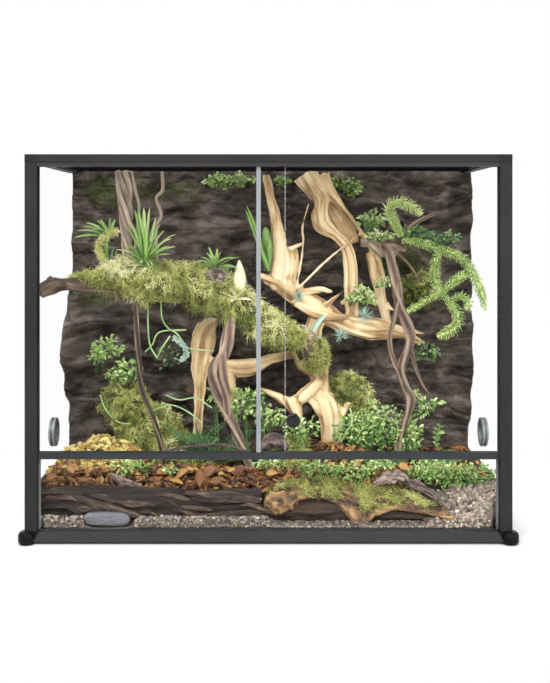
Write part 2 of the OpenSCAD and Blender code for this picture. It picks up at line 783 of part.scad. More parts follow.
module log_right() {
    color("#7d6038") grown() difference() {
        union() {
            limb([[-4, log_y, pebble_z + 20, 21], [80, log_y + 1, pebble_z + 42, 25], [190, log_y + 1, pebble_z + 46, 25],
                  [300, log_y + 1, pebble_z + 42, 25], [400, log_y, pebble_z + 20, 22]], sides = 10, flat = 0.85);
            limb([[192, log_y - 6, pebble_z + 42, 15], [196, log_y - 12, pebble_z - 2, 6]], sides = 6);
            limb([[20, log_y - 6, pebble_z + 30, 10], [70, log_y - 14, pebble_z + 10, 4]], sides = 6);
        }
        below(pebble_z + seat);
    }
}

// Wood

module driftwood_shape() {
    difference() {
        union() {
            limb([[-4, 85, 772, 8], [9, 85, 709, 10], [20, 80, 648, 14], [24, 80, 600, 17], [20, 80, 550, 16],
                  [12, 80, 512, 14]]);
            limb([[24, 80, 585, 12], [55, 78, 600, 9], [83, 75, 611, 3]], flat = 0.7);
            limb([[62, 78, 603, 7], [58, 80, 560, 12], [48, 80, 505, 12]], flat = 0.6);
            limb([[-20, 70, 532, 5], [22, 78, 512, 16], [65, 80, 485, 20], [115, 80, 460, 24], [170, 80, 425, 20],
                  [235, 75, 402, 17], [310, 75, 398, 14], [360, 75, 378, 6]], flat = 0.8);
            limb([[95, 90, 774, 32], [117, 88, 742, 25], [127, 86, 715, 20], [125, 84, 690, 17], [130, 82, 655, 21],
                  [162, 82, 627, 12], [184, 82, 601, 13], [193, 82, 560, 16], [194, 80, 494, 15],
                  [200, 78, 410, 16]], flat = 0.7, sides = 10);
            limb([[140, 88, 740, 11], [185, 84, 683, 8], [220, 82, 633, 8], [246, 82, 585, 5]]);
            limb([[146, 98, 712, 12], [175, 98, 660, 24], [204, 98, 610, 14]], flat = 0.3);
            limb([[244, 92, 592, 14], [256, 90, 540, 19], [263, 85, 490, 14], [276, 80, 440, 12], [288, 78, 398, 10]],
                 flat = 0.7);
            limb([[226, 88, 604, 10], [262, 85, 604, 14], [292, 85, 604, 13], [320, 85, 592, 6]], flat = 0.8);
            limb([[52, 74, 392, 12], [82, 72, 356, 32], [100, 70, 335, 37], [118, 72, 308, 26], [132, 74, 270, 18],
                  [140, 66, 205, 22], [144, 62, 165, 21], [140, 60, 100, 22]], sides = 10, flat = 0.85);
            limb([[120, 78, 460, 20], [105, 76, 410, 20], [96, 74, 350, 22]], flat = 0.8);
            limb([[-24, 66, 272, 5], [18, 62, 255, 10], [52, 60, 238, 13], [86, 62, 258, 15], [122, 66, 292, 13]]);
            limb([[56, 60, 244, 13], [70, 56, 200, 12], [80, 54, 150, 12], [82, 54, 100, 14]]);
            limb([[190, 68, 242, 7], [168, 64, 196, 8], [150, 62, 160, 9]]);
            limb([[-150, 85, 412, 30], [-156, 85, 368, 29], [-162, 85, 320, 22], [-164, 85, 270, 13],
                  [-166, 85, 180, 10], [-168, 85, 100, 12]], flat = 0.6);
            limb([[-158, 85, 350, 14], [-125, 82, 330, 12], [-95, 80, 322, 18], [-60, 80, 315, 20], [-28, 80, 322, 16],
                  [10, 78, 338, 11], [60, 74, 350, 12]], flat = 0.6);
            limb([[-92, 80, 318, 16], [-88, 80, 280, 14], [-80, 80, 220, 10], [-78, 80, 100, 12]], flat = 0.7);
            limb([[95, 78, 705, 2.5], [80, 72, 650, 2], [81, 68, 604, 2.5], [64, 70, 500, 3]], sides = 5, steps = 2);
            limb([[216, 76, 634, 3], [140, 62, 575, 2.2], [64, 70, 500, 3]], sides = 5, steps = 2);
        }
        below(soil_z + seat);
        above(ceiling_z);
    }
}

module driftwood() {
    color("#c9a877") grown() driftwood_shape();
}

module moss_branch_shape() {
    limb([[-477, -148, 520, 8], [-466, -125, 542, 10], [-430, -95, 541, 10], [-375, -62, 532, 20],
          [-311, -42, 520, 32], [-244, -34, 524, 30], [-178, -24, 519, 36], [-110, -18, 517, 34],
          [-53, -10, 486, 34], [-8, 0, 446, 32], [38, 22, 405, 25], [86, 62, 372, 12]], sides = 9, flat = 0.8);
    for (hang = [[-330, -48, 470], [-290, -46, 458], [-225, -42, 466], [-180, -34, 452], [-150, -34, 462],
                 [-95, -30, 446], [-30, -18, 400], [-60, -22, 420]])
        limb([[hang[0], hang[1], 510, 14], [hang[0] + 3, hang[1], (hang[2] + 510) / 2, 9],
              [hang[0], hang[1], hang[2], 2]], sides = 5, steps = 1);
}

module moss_branch() {
    color("#8fa53a") grown() difference() {
        moss_branch_shape();
        driftwood_shape();
    }
}

// Strands wound loosely round the bundle's middle line
module root_bundle() {
    strands = 5;
    color("#9c8b79") grown() difference() {
        union() {
            limb([[-326, -40, 774, 15], [-327, -40, 700, 12], [-322, -42, 640, 11], [-312, -42, 520, 9]]);
            for (k = [0 : strands - 1])
                limb([for (j = [0 : 5])
                    let(w = 360 * k / strands + 55 * j, spread = 17 - 1.6 * j)
                    [-326 + 2.4 * j + spread * cos(w), -40 + spread * sin(w), 774 - 46 * j, 6.5 - 0.6 * j]],
                    sides = 5, steps = 1);
            limb([[-307, -44, 774, 4], [-298, -46, 730, 4], [-290, -46, 690, 3.5], [-300, -42, 600, 3],
                  [-300, -42, 520, 3]], sides = 5, steps = 1);
            limb([[-239, -36, 774, 4], [-238, -38, 734, 4], [-252, -40, 714, 4], [-241, -40, 677, 4],
                  [-253, -38, 645, 3.5], [-250, -34, 520, 3]], sides = 5);
        }
        moss_branch_shape();
    }
}

module liana_left() {
    color("#3f332c") grown() difference() {
        limb([[-296, -52, 500, 5], [-292, -56, 386, 5], [-281, -50, 286, 5.5], [-245, -45, 180, 5],
              [-232, -45, 100, 5]], sides = 7);
        moss_branch_shape();
        below(soil_z + seat);
    }
}

module liana_middle() {
    color("#6d5a4b") grown() difference() {
        union() {
            limb([[-80, -28, 470, 7], [-90, -52, 391, 9], [-118, -60, 336, 12], [-104, -62, 270, 11],
                  [-66, -70, 182, 9], [-34, -80, 100, 8]]);
            limb([[-96, -40, 420, 5], [-106, -66, 340, 8], [-92, -66, 268, 7], [-72, -70, 196, 5]]);
        }
        moss_branch_shape();
        below(soil_z + seat);
    }
}

module vine_right() {
    color("#7a6a5c") grown() difference() {
        union() {
            limb([[282, 80, 600, 8], [280, 30, 578, 9], [300, 0, 472, 10], [323, -6, 392, 10], [300, -4, 323, 9],
                  [323, 0, 255, 9], [297, -10, 160, 7], [290, -14, 100, 7]]);
            limb([[300, 2, 500, 4], [289, -8, 450, 4], [276, -10, 380, 4], [309, 0, 282, 4]], sides = 6);
            limb([[296, 84, 600, 4], [326, 40, 562, 3], [345, 24, 535, 1.5]], sides = 5);
            limb([[304, 84, 600, 5], [330, 56, 650, 4.5], [386, 44, 682, 3]], sides = 6);
        }
        driftwood_shape();
        below(soil_z + seat);
    }
}

// Plants

module moss_cushions() {
    color("#7e9a3c") grown() difference() {
        union() {
            cushion([-345, 92, 150], [75, 55, 88]);
            cushion([-275, 85, 160], [80, 62, 120]);
            cushion([-215, 50, 120], [70, 50, 58]);
            cushion([186, 92, 262], [58, 42, 46]);
            limb([[200, 88, 240, 20], [214, 88, 170, 18], [218, 88, 100, 20]]);
            cushion([60, -20, 108], [88, 48, 44]);
            cushion([365, 135, 500], [50, 78, 42]);
        }
        driftwood_shape();
        rock_shape();
        below(soil_z + seat);
    }
}

module grass_tufts() {
    left = [-285, -60, 545];
    mid = [-98, -34, 540];
    low = [-285, -112, soil_z + 3];
    color("#7cb342") grown() difference() {
        union() {
            cushion(left, [26, 12, 17], sides = 8, rings = 4);
            for (t = [[-4, 146, 0], [-34, 116, 5], [-66, 88, 13], [-104, 78, 20], [30, 124, 8], [58, 96, 15],
                      [88, 62, 24]])
                blade(left + [t[0] * 0.14, 0, 4], left + [t[0], -4 - t[2], t[1]], 6, t[2]);
            cushion(mid, [20, 12, 15], sides = 8, rings = 4);
            for (t = [[-46, 48, 12], [-18, 66, 6], [28, 74, 9], [64, 50, 20]])
                blade(mid + [t[0] * 0.2, 0, 4], mid + [t[0], -4 - t[2], t[1]], 6, t[2]);
            cushion(low, [30, 16, 10], sides = 8, rings = 4);
            for (k = [-3 : 3])
                leaf(low + [5 * k, -2, 2], [20 * k, -6, 48 - 3 * abs(k)], 8);
        }
        moss_branch_shape();
        below(soil_z + seat);
    }
}

module strap_leaves() {
    base = [4, 58, 538];
    color("#5f9a3f") grown() difference() {
        union() {
            cushion(base, [12, 14, 14], sides = 8, rings = 4);
            blade(base, [-50, 40, 704], 8, 6);
            blade(base, [-6, 46, 654], 11, 0);
            blade(base, [-30, 36, 640], 7, 8);
            blade([-92, -22, 540], [-20, -40, 470], 9, 40);
        }
        driftwood_shape();
        moss_branch_shape();
    }
}

module tassel_fern() {
    heart = [300, 52, 606];
    color("#7cb83f") grown() difference() {
        union() {
            cushion(heart + [8, 0, 4], [22, 26, 16], sides = 8, rings = 4);
            limb([[298, 50, 608, 6], [293, 20, 640, 12], [271, 0, 696, 13], [300, -6, 714, 13], [340, -10, 682, 11]],
                 sides = 6);
            limb([[304, 50, 606, 6], [345, 20, 612, 12], [387, 0, 598, 13], [443, -30, 570, 13], [466, -50, 512, 12],
                  [470, -60, 466, 8]], sides = 6);
            limb([[345, 14, 608, 6], [380, 6, 587, 10], [371, 0, 508, 7]], sides = 6);
            limb([[387, 0, 596, 6], [402, -14, 540, 9], [390, -20, 506, 9], [418, -26, 470, 11], [432, -30, 428, 10],
                  [384, -34, 404, 6]], sides = 6);
            limb([[390, -16, 508, 7], [352, -20, 486, 9], [312, -22, 462, 7]], sides = 6);
            limb([[390, -18, 508, 7], [424, -26, 520, 8]], sides = 6);
        }
        driftwood_shape();
        vine_right();
    }
}

// A rosette of narrow leaves that arch outwards
module rosette(at, reach, rise, count, width) {
    cushion(at, [reach * 0.2, reach * 0.16, rise * 0.2], sides = 8, rings = 4);
    for (k = [0 : count - 1])
        let(w = 360 * k / count + 20)
        blade(at, at + [reach * cos(w), 0.5 * reach * sin(w), rise * (0.7 + 0.3 * sin(2 * w + 30))],
              width, rise * 0.25);
}

module fern_clumps() {
    color("#3f7d3a") grown() difference() {
        union() {
            rosette([-118, -8, soil_z - 2], 92, 84, 9, 7);
            rosette([-30, -14, soil_z - 2], 56, 70, 7, 6);
            rosette([410, -40, soil_z - 2], 70, 54, 7, 6);
            rosette([250, -60, soil_z - 2], 60, 48, 7, 6);
        }
        driftwood_shape();
        liana_middle();
        vine_right();
        moss_cushions();
        below(soil_z + seat);
    }
}

// A stem with paired leaves
module leafy_stem(base, tip, pairs, size) {
    lean = tip - base;
    limb([[base[0], base[1], base[2], 2.4], [tip[0], tip[1], tip[2], 1.4]], sides = 4, steps = 1);
    for (k = [1 : pairs], side = [-1, 1])
        leaf(base + lean * k / pairs, [side * size, -5, size * 0.4], size * 0.7);
}

module leafy_creepers() {
    color("#5d9c48") grown() difference() {
        union() {
            for (s = [[-395, 0], [-372, 20], [-350, -14], [-420, 26]])
                leafy_stem([s[0], 20, soil_z - 4], [s[0] + s[1], 6, soil_z + 190 - abs(s[0] + 372)], 6, 20);
            for (s = [[222, -14], [250, 10], [340, -8], [368, 14], [392, -6]])
                leafy_stem([s[0], 20, soil_z - 4], [s[0] + s[1], 4, soil_z + 118 - 0.4 * abs(s[0] - 320)], 5, 20);
            for (s = [[-110, 40], [-80, 46], [-50, 34], [160, 40], [190, 56], [214, 34]])
                leafy_stem([s[0], rock_face + 6, 748], [s[0] + 6, rock_face - 34, 748 - s[1]], 3, 18);
        }
        rock_shape();
        driftwood_shape();
        moss_cushions();
        vine_right();
        below(soil_z + seat);
    }
}

module leaf_litter() {
    color("#a8703a") translate([0, 0, soil_z + seat]) linear_extrude(3) {
        for (p = [[57.6 - inner_x, -84, 40, 34, 0], [117.6 - inner_x, -104, 34, 26, 25], [-190, -128, 62, 18, 0],
                  [190, -118, 52, 22, 10], [inner_x - 89.6, -118, 46, 24, 0]])
            translate([p[0], p[1]]) rotate(p[4]) polygon([for (k = [0 : 10])
                let(w = 360 * k / 11, r = 0.86 + 0.14 * sin(5 * w + 30 * k))
                [p[2] * r * cos(w), p[3] * r * sin(w)]]);
    }
}

// Drawing

base_rail_front();
base_rail_rear();
base_rail_left();
base_rail_right();
foot_at(-1, true);  // foot_front_left
foot_at(1, true);  // foot_front_right
foot_at(-1, false);  // foot_rear_left
foot_at(1, false);  // foot_rear_right
post(-1);  // post_left
post(1);  // post_right
rim_rail_front();
rim_rail_rear();
rim_rail_left();
rim_rail_right();
rim_corner_at(-1, true);  // rim_corner_front_left
rim_corner_at(1, true);  // rim_corner_front_right
rim_corner_at(-1, false);  // rim_corner_rear_left
rim_corner_at(1, false);  // rim_corner_rear_right
upper_track();
lower_track();
side_glass(-1);  // glass_left
side_glass(1);  // glass_right
glass_rear();
glass_floor();
glass_front_lower();
silicone_beads();
door_left();
door_right();
door_edge_seal();
lock_body();
lock_nut();
lock_barrel();
lock_key_plug();
vent_flange_part(-1);  // vent_left_flange
vent_ring_part(-1);  // vent_left_ring
vent_grille_part(-1);  // vent_left_grille
vent_flange_part(1);  // vent_right_flange
vent_ring_part(1);  // vent_right_ring
vent_grille_part(1);  // vent_right_grille
lid_frame();
lid_mesh();
rock_background();
drainage_layer();
soil();
boulder();
log_left();
log_right();
driftwood();
moss_branch();
root_bundle();
liana_left();
liana_middle();
vine_right();
moss_cushions();
grass_tufts();
strap_leaves();
tassel_fern();
fern_clumps();
leafy_creepers();
leaf_litter();
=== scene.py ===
import math
import bpy
import numpy as np
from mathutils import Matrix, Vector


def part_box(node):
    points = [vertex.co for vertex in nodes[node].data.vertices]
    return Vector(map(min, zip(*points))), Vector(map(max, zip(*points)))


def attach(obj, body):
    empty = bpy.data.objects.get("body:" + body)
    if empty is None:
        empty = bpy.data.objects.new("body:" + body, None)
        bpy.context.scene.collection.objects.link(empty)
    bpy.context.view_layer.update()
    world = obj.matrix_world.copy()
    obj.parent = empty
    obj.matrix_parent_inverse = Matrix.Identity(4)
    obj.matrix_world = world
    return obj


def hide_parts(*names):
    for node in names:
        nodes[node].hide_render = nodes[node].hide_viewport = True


# Reptile terrarium: glass tank in a dark frame, planted with driftwood, moss and ferns
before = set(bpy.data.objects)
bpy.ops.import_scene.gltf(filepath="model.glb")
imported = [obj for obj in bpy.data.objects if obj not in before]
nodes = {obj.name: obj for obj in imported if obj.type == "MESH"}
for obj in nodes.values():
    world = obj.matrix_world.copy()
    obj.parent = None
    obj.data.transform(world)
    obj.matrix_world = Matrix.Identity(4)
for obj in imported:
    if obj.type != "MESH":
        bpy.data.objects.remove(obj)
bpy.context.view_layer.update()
scene = bpy.context.scene
dice = np.random.default_rng(11)
print("scene: frame loaded")

# camera: level, on the middle plane, 2.19 m in front of the posts
cameraSet = {"place": (0.0, -2.440, 0.659), "lens": 56.33, "shift": (0.0095, -0.1735)}
cameraData = bpy.data.cameras.new("camera")
cameraData.lens = cameraSet["lens"]
cameraData.sensor_width = 36
cameraData.shift_x, cameraData.shift_y = cameraSet["shift"]
cameraObject = bpy.data.objects.new("camera", cameraData)
cameraObject.location = cameraSet["place"]
cameraObject.rotation_euler = (math.pi / 2, 0, 0)
scene.collection.objects.link(cameraObject)
scene.camera = cameraObject
scene.view_settings.view_transform = "Standard"


# the 550 x 683 picture: column and row of the camera's axis, its height and its distance in mm,
# the mm that a pixel spans at the posts' front, and how far that front is from the middle
viewSet = {"column": 268.5, "row": 223, "height": 659, "distance": 2190, "pixel": 2.0492, "front": 250.0}


# mm that a pixel spans at so many mm behind the posts' front
def pixelAt(behind):
    return viewSet["pixel"] * (1 + behind / viewSet["distance"])


# where a point of the picture lies, in metres
def spot(px, py, behind):
    px, py, behind = np.broadcast_arrays(px, py, behind)
    scale = pixelAt(behind)
    return np.stack([(px - viewSet["column"]) * scale, behind - viewSet["front"],
                     viewSet["height"] - (py - viewSet["row"]) * scale], -1) / 1000


# rows of px, py, mm behind and radius as rows of [x, y, z, radius] in mm
def seenTable(rows):
    return [[*spot(px, py, behind) * 1000, radius] for px, py, behind, radius in rows]


# numpy shapes

def unit(v):
    return v / np.maximum(np.linalg.norm(v, axis=-1, keepdims=True), 1e-9)


def circle(count):
    return np.linspace(0, 2 * math.pi, count, endpoint=False)


# ways to a ball's surface, as rows from the top over the angles start to end
def ballWays(start, end, rows, sides):
    a, w = np.meshgrid(np.linspace(start, end, rows), circle(sides), indexing="ij")
    return np.stack([np.sin(a) * np.cos(w), np.sin(a) * np.sin(w), np.cos(a)], -1)


# sum of bell-shaped humps, each a row of height, middle x and z, and reach in x and z
def humps(x, z, rows):
    total = 0
    for high, midX, midZ, wide, tall in rows:
        total = total + high * np.exp(-((x - midX) / wide) ** 2 - ((z - midZ) / tall) ** 2)
    return total


# place on a limb as a point of a tube, so that noise read there joins up round it
def onTube(w, s, across, along, seed=0):
    return np.stack([np.cos(w) * across, np.sin(w) * across, s * along + seed], -1)


# value noise from 0 to 1: hashed lattice values blended by a smoothstep of the place in the cell
def noiseAt(p, seed=0):
    cell = np.floor(p).astype(np.int64)
    part = p - cell
    part = part * part * (3 - 2 * part)
    total = np.zeros(p.shape[:-1])
    for corner in range(8):
        step = np.array([corner & 1, corner >> 1 & 1, corner >> 2 & 1])
        c = cell + step
        h = (c[..., 0] * 73856093) ^ (c[..., 1] * 19349663) ^ (c[..., 2] * 83492791) ^ (seed * 7919 + 101)
        h = (h ^ h >> 13) & 0x7fffffff
        h = (h * 1274126177) & 0x7fffffff
        total += np.prod(np.where(step, part, 1 - part), axis=-1) * ((h ^ h >> 15) & 0xffff) / 65535
    return total


# sum of noise octaves, each twice as fine and half as strong
def cloud(p, octaves=4, seed=0):
    total, share = 0, 0
    for k in range(octaves):
        total = total + noiseAt(p * 2 ** k + 17.3 * k, seed + k) * 0.5 ** k
        share += 0.5 ** k
    return total / share


# Catmull-Rom curve through the rows of a table, steps points to each span
def curveThrough(table, steps=8):
    t = np.asarray(table, float)
    t = np.vstack([2 * t[0] - t[1], t, 2 * t[-1] - t[-2]])
    s = np.linspace(0, 1, steps, endpoint=False)[None, :, None]
    a, b, c, d = (t[k:len(t) - 3 + k, None, :] for k in range(4))
    rows = 0.5 * (2 * b + (c - a) * s + (2 * a - 5 * b + 4 * c - d) * s ** 2 + (3 * b - a - 3 * c + d) * s ** 3)
    return np.vstack([rows.reshape(-1, t.shape[1]), t[-2]])


# closed skins over stacks of rings, rings[count, row, side]; each end is closed by a fan to its middle
def loft(rings, tone=0.5, along=None, flow=None):
    count, rows, sides = rings.shape[:3]
    size = rows * sides + 2
    i, k = np.meshgrid(np.arange(rows - 1), np.arange(sides), indexing="ij")
    n = (k + 1) % sides
    quads = np.stack([i * sides + k, i * sides + n, (i + 1) * sides + n, (i + 1) * sides + k], -1).reshape(-1, 4)
    a = np.arange(sides)
    b, last = (a + 1) % sides, (rows - 1) * sides
    tris = np.vstack([np.stack([0 * a + size - 2, b, a], -1), np.stack([0 * a + size - 1, last + a, last + b], -1)])
    shift = np.arange(count)[:, None, None] * size

    def spread(values, width):
        grid = np.broadcast_to(values, (count, rows, sides, width)).reshape(count, rows * sides, width)
        ends = np.stack([grid[:, :sides].mean(1), grid[:, last:].mean(1)], 1)
        return np.concatenate([grid, ends], 1).reshape(-1, width)

    tone = np.asarray(tone, float)
    tone = tone.reshape(tone.shape + (1,) * (3 - tone.ndim))[..., None]
    along = np.linspace(0, 1, rows)[None, :, None, None] if along is None else np.asarray(along)[..., None]
    return {"points": spread(rings, 3), "quads": (quads + shift).reshape(-1, 4), "tris": (tris + shift).reshape(-1, 3),
            "tone": spread(tone, 1)[:, 0], "along": spread(along, 1)[:, 0],
            "flow": spread(rings if flow is None else flow, 3)}


def merge(parts):
    shift = np.cumsum([0] + [len(part["points"]) for part in parts])
    whole = {key: np.concatenate([part[key] for part in parts]) for key in ("points", "tone", "along", "flow")}
    for key in ("quads", "tris"):
        whole[key] = np.vstack([part[key] + shift[k] for k, part in enumerate(parts)])
    return whole


# route of [x, y, z, radius] in mm as a curve in metres, with the ways ahead and across and the distance run
def routeOf(table, steps):
    path = curveThrough(table, steps) / 1000
    ahead = unit(np.gradient(path[:, :3], axis=0))
    across = unit(np.cross([0, 1, 0.02], ahead))
    run = np.concatenate([[0], np.cumsum(np.linalg.norm(np.diff(path[:, :3], axis=0), axis=1))])
    return path, ahead, across, run


# profile carried along a route: a ring of radius * (1 + swell(angle, distance)) across it
def limb(table, sides=16, steps=8, flat=1.0, swell=None, tone=None, seed=0):
    path, ahead, across, run = routeOf(table, steps)
    up = np.cross(ahead, across)
    w, s = np.meshgrid(circle(sides), run)
    wide = path[:, 3:4] * (1 + (swell(w, s, seed) if swell else 0))
    place = np.cos(w)[..., None] * across[:, None] + flat * np.sin(w)[..., None] * up[:, None]
    rings = path[:, None, :3] + wide[..., None] * place
    flow = np.stack([wide * np.cos(w), wide * np.sin(w) + seed, s], -1)
    shade = np.full(w.shape, 0.5) if tone is None else tone(w, s, seed)
    return loft(rings[None], shade[None], np.broadcast_to(s / run[-1], w.shape)[None], flow[None])


# bark: long ridges that run with the limb and wander round it
def barkSwell(w, s, seed):
    ridge = 1 - np.abs(2 * noiseAt(onTube(w, s, 3.2, 14, seed), 5) - 1)
    return 0.5 * (cloud(onTube(w, s, 1.6, 22, seed), 3, seed) - 0.5) + 0.28 * (ridge - 0.5)


# many thin leaves or strands at once: a quadratic curve from base to base + reach that bows through base + middle,
# with a diamond or triangle across it that is width * profile wide and thick times that deep
def ribbons(base, reach, middle, width, profile, rows=5, sides=4, thick=0.2, tone=None, facing=None, cup=0.0):
    base, reach, middle = (np.atleast_2d(v).astype(float) for v in (base, reach, middle))
    count = len(base)
    s = np.linspace(0, 1, rows)[None, :, None]
    path = base[:, None] + 2 * s * (1 - s) * middle[:, None] + s * s * reach[:, None]
    ahead = unit((2 - 4 * s) * middle[:, None] + 2 * s * reach[:, None] + 1e-6)
    facing = np.array([0.05, -0.6, 0.8]) if facing is None else facing
    facing = np.broadcast_to(facing, (count, 3))[:, None]
    across = unit(np.cross(ahead, facing) + 1e-7)
    up = np.cross(across, ahead)
    wide = (np.broadcast_to(width, (count,))[:, None] * profile(np.linspace(0, 1, rows))[None])[..., None, None] / 2
    angle = circle(sides)
    c, d = np.cos(angle)[None, None, :, None], np.sin(angle)[None, None, :, None]
    lift = cup * (np.abs(c) - 0.5)
    rings = path[:, :, None] + wide * (c * across[:, :, None] + (thick * d + lift) * up[:, :, None])
    tone = dice.random(count) if tone is None else np.broadcast_to(tone, (count,))
    return loft(rings[:, :, ::-1], tone)


def bladeShape(s):
    return 0.25 + 0.75 * np.sqrt(np.sin(math.pi * np.clip(0.16 + 0.84 * s, 0, 1)) + 0.001) - 0.2 * s


def strandShape(s):
    return 1.0 - 0.75 * s


def leafShape(s):
    return 0.12 + 0.95 * np.sin(math.pi * np.clip(s, 0, 1) ** 0.8) ** 0.9


def spoonShape(s):
    return np.clip(0.35 + 1.2 * s, 0, 1) * np.sqrt(np.clip(1 - np.clip(2.5 * s - 1.5, 0, 1) ** 2, 0, 1))


# shades scattered round a middle one
def shadeAround(tone, spread, count):
    return np.clip(tone + dice.normal(0, spread, count), 0, 1)


# copies of one small pebble: a sphere of few faces pushed in and out, turned, flattened and put at each place
def pebbles(places, sizes, flat=0.6, tone=None, rough=0.25):
    count, rows, sides = len(places), 5, 7
    a = np.linspace(0.35, math.pi - 0.35, rows)[None, :, None]
    turn = dice.random((count, 1, 1)) * 2 * math.pi
    w = circle(sides)[None, None] + 0 * a + turn
    push = 1 + rough * (dice.random((count, rows, sides)) - 0.5)
    stretch = 0.75 + 0.5 * dice.random((count, 1, 1))
    x, y, z = np.sin(a) * np.cos(w) * stretch * push, np.sin(a) * np.sin(w) / stretch * push, -np.cos(a) * push * flat
    lean, spin = (dice.random((2, count, 1, 1)) - 0.5) * 0.9
    x, z = x * np.cos(lean) - z * np.sin(lean), x * np.sin(lean) + z * np.cos(lean)
    y, z = y * np.cos(spin) - z * np.sin(spin), y * np.sin(spin) + z * np.cos(spin)
    rings = places[:, None, None] + sizes[:, None, None, None] * np.stack([x, y, z], -1)
    return loft(rings, dice.random(count) if tone is None else tone)


# a block whose top is the grid points[row, column]; its rim drops to the plane axis = level, closed by a fan
def block(grid, axis, level, tone):
    rows, columns = grid.shape[:2]
    index = np.arange(rows * columns).reshape(rows, columns)
    quads = np.stack([index[:-1, :-1], index[:-1, 1:], index[1:, 1:], index[1:, :-1]], -1).reshape(-1, 4)
    rim = np.concatenate([index[0, :-1], index[:-1, -1], index[-1, :0:-1], index[:0:-1, 0]])
    foot = grid.reshape(-1, 3)[rim].copy()
    foot[:, axis] = level
    start = rows * columns
    a = np.arange(len(rim))
    b = (a + 1) % len(rim)
    skirt = np.stack([rim[b], rim[a], start + a, start + b], -1)
    points = np.vstack([grid.reshape(-1, 3), foot, foot.mean(0)])
    tris = np.stack([start + b, start + a, 0 * a + len(points) - 1], -1)
    tone = np.concatenate([tone.reshape(-1), np.full(len(rim) + 1, 0.36)])
    part = {"points": points, "quads": np.vstack([quads, skirt]), "tris": tris, "tone": tone,
            "along": 0 * tone, "flow": points, "flatCap": True}
    return outward(part)


# turns a closed part's faces round when its volume comes out negative
def outward(part):
    p = part["points"] - part["points"].mean(0)
    corners = np.vstack([part["tris"], part["quads"][:, :3], part["quads"][:, [0, 2, 3]]])
    volume = np.einsum("ij,ij->i", p[corners[:, 0]], np.cross(p[corners[:, 1]], p[corners[:, 2]])).sum()
    if volume < 0:
        part["quads"], part["tris"] = part["quads"][:, ::-1], part["tris"][:, ::-1]
    return part


def makeMesh(name, part):
    mesh = bpy.data.meshes.new(name)
    corners = np.concatenate([part["quads"].ravel(), part["tris"].ravel()]).astype(np.int32)
    starts = np.concatenate([np.arange(len(part["quads"])) * 4,
                             part["quads"].size + np.arange(len(part["tris"])) * 3]).astype(np.int32)
    mesh.vertices.add(len(part["points"]))
    mesh.loops.add(len(corners))
    mesh.polygons.add(len(starts))
    mesh.vertices.foreach_set("co", part["points"].astype(np.float32).ravel())
    mesh.loops.foreach_set("vertex_index", corners)
    mesh.polygons.foreach_set("loop_start", starts)
    mesh.update(calc_edges=True)
    return mesh


# inside of the glass box, which no leaf passes, and the height that rock and wood end at
roomSet = {"low": (-0.4885, -0.2325, 0.0268), "high": (0.4885, 0.2396, 0.7905), "ceiling": 0.781}


# puts a part into the scene as a piece that rides on a body, with its shade kept in attributes
def putPiece(name, part, material, slot, replaces=(), body="terrarium", smooth=True):
    if slot in ("foliage", "moss", "dry_leaf"):
        part["points"] = np.clip(part["points"], roomSet["low"], roomSet["high"])
    mesh = makeMesh(name, part)
    flat = smooth and not part.get("flatCap", False)
    mesh.polygons.foreach_set("use_smooth",
                              np.concatenate([np.full(len(part["quads"]), smooth), np.full(len(part["tris"]), flat)]))
    for key in ("tone", "along"):
        mesh.attributes.new(key, "FLOAT", "POINT").data.foreach_set("value", part[key].astype(np.float32))
    mesh.attributes.new("flow", "FLOAT_VECTOR", "POINT").data.foreach_set("vector",
                                                                          part["flow"].astype(np.float32).ravel())
    mesh.materials.append(material)
    piece = bpy.data.objects.new(name, mesh)
    scene.collection.objects.link(piece)
    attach(piece, body)
    if replaces:
        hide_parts(*replaces)
    print("piece", name, len(part["quads"]) * 2 + len(part["tris"]), "triangles")
    return piece


# one skin over limbs that cross: a voxel remesh of them all, then a few smoothing passes
def fuse(part, voxel, passes=6):
    mesh = makeMesh("fuse", part)
    lump = bpy.data.objects.new("fuse", mesh)
    scene.collection.objects.link(lump)
    remesh = lump.modifiers.new("remesh", "REMESH")
    remesh.mode, remesh.voxel_size = "VOXEL", voxel
    soften = lump.modifiers.new("soften", "SMOOTH")
    soften.factor, soften.iterations = 0.5, passes
    skin = bpy.data.meshes.new_from_object(lump.evaluated_get(bpy.context.evaluated_depsgraph_get()))

    def readAll(rows, key, width, kind):
        values = np.empty(len(rows) * width, kind)
        rows.foreach_get(key, values)
        return values.reshape(-1, width) if width > 1 else values

    points, normals = (readAll(skin.vertices, key, 3, np.float32).astype(float) for key in ("co", "normal"))
    counts, corners = readAll(skin.polygons, "loop_total", 1, np.int32), readAll(skin.loops, "vertex_index", 1,
                                                                                 np.int32)
    starts = np.concatenate([[0], np.cumsum(counts)[:-1]])
    quads = corners[starts[counts == 4][:, None] + np.arange(4)]
    tris = corners[starts[counts == 3][:, None] + np.arange(3)]
    bpy.data.objects.remove(lump)
    bpy.data.meshes.remove(mesh)
    bpy.data.meshes.remove(skin)
    return {"points": points, "quads": quads, "tris": tris.reshape(-1, 3), "tone": np.full(len(points), 0.5),
            "along": np.zeros(len(points)), "flow": points.copy()}, normals


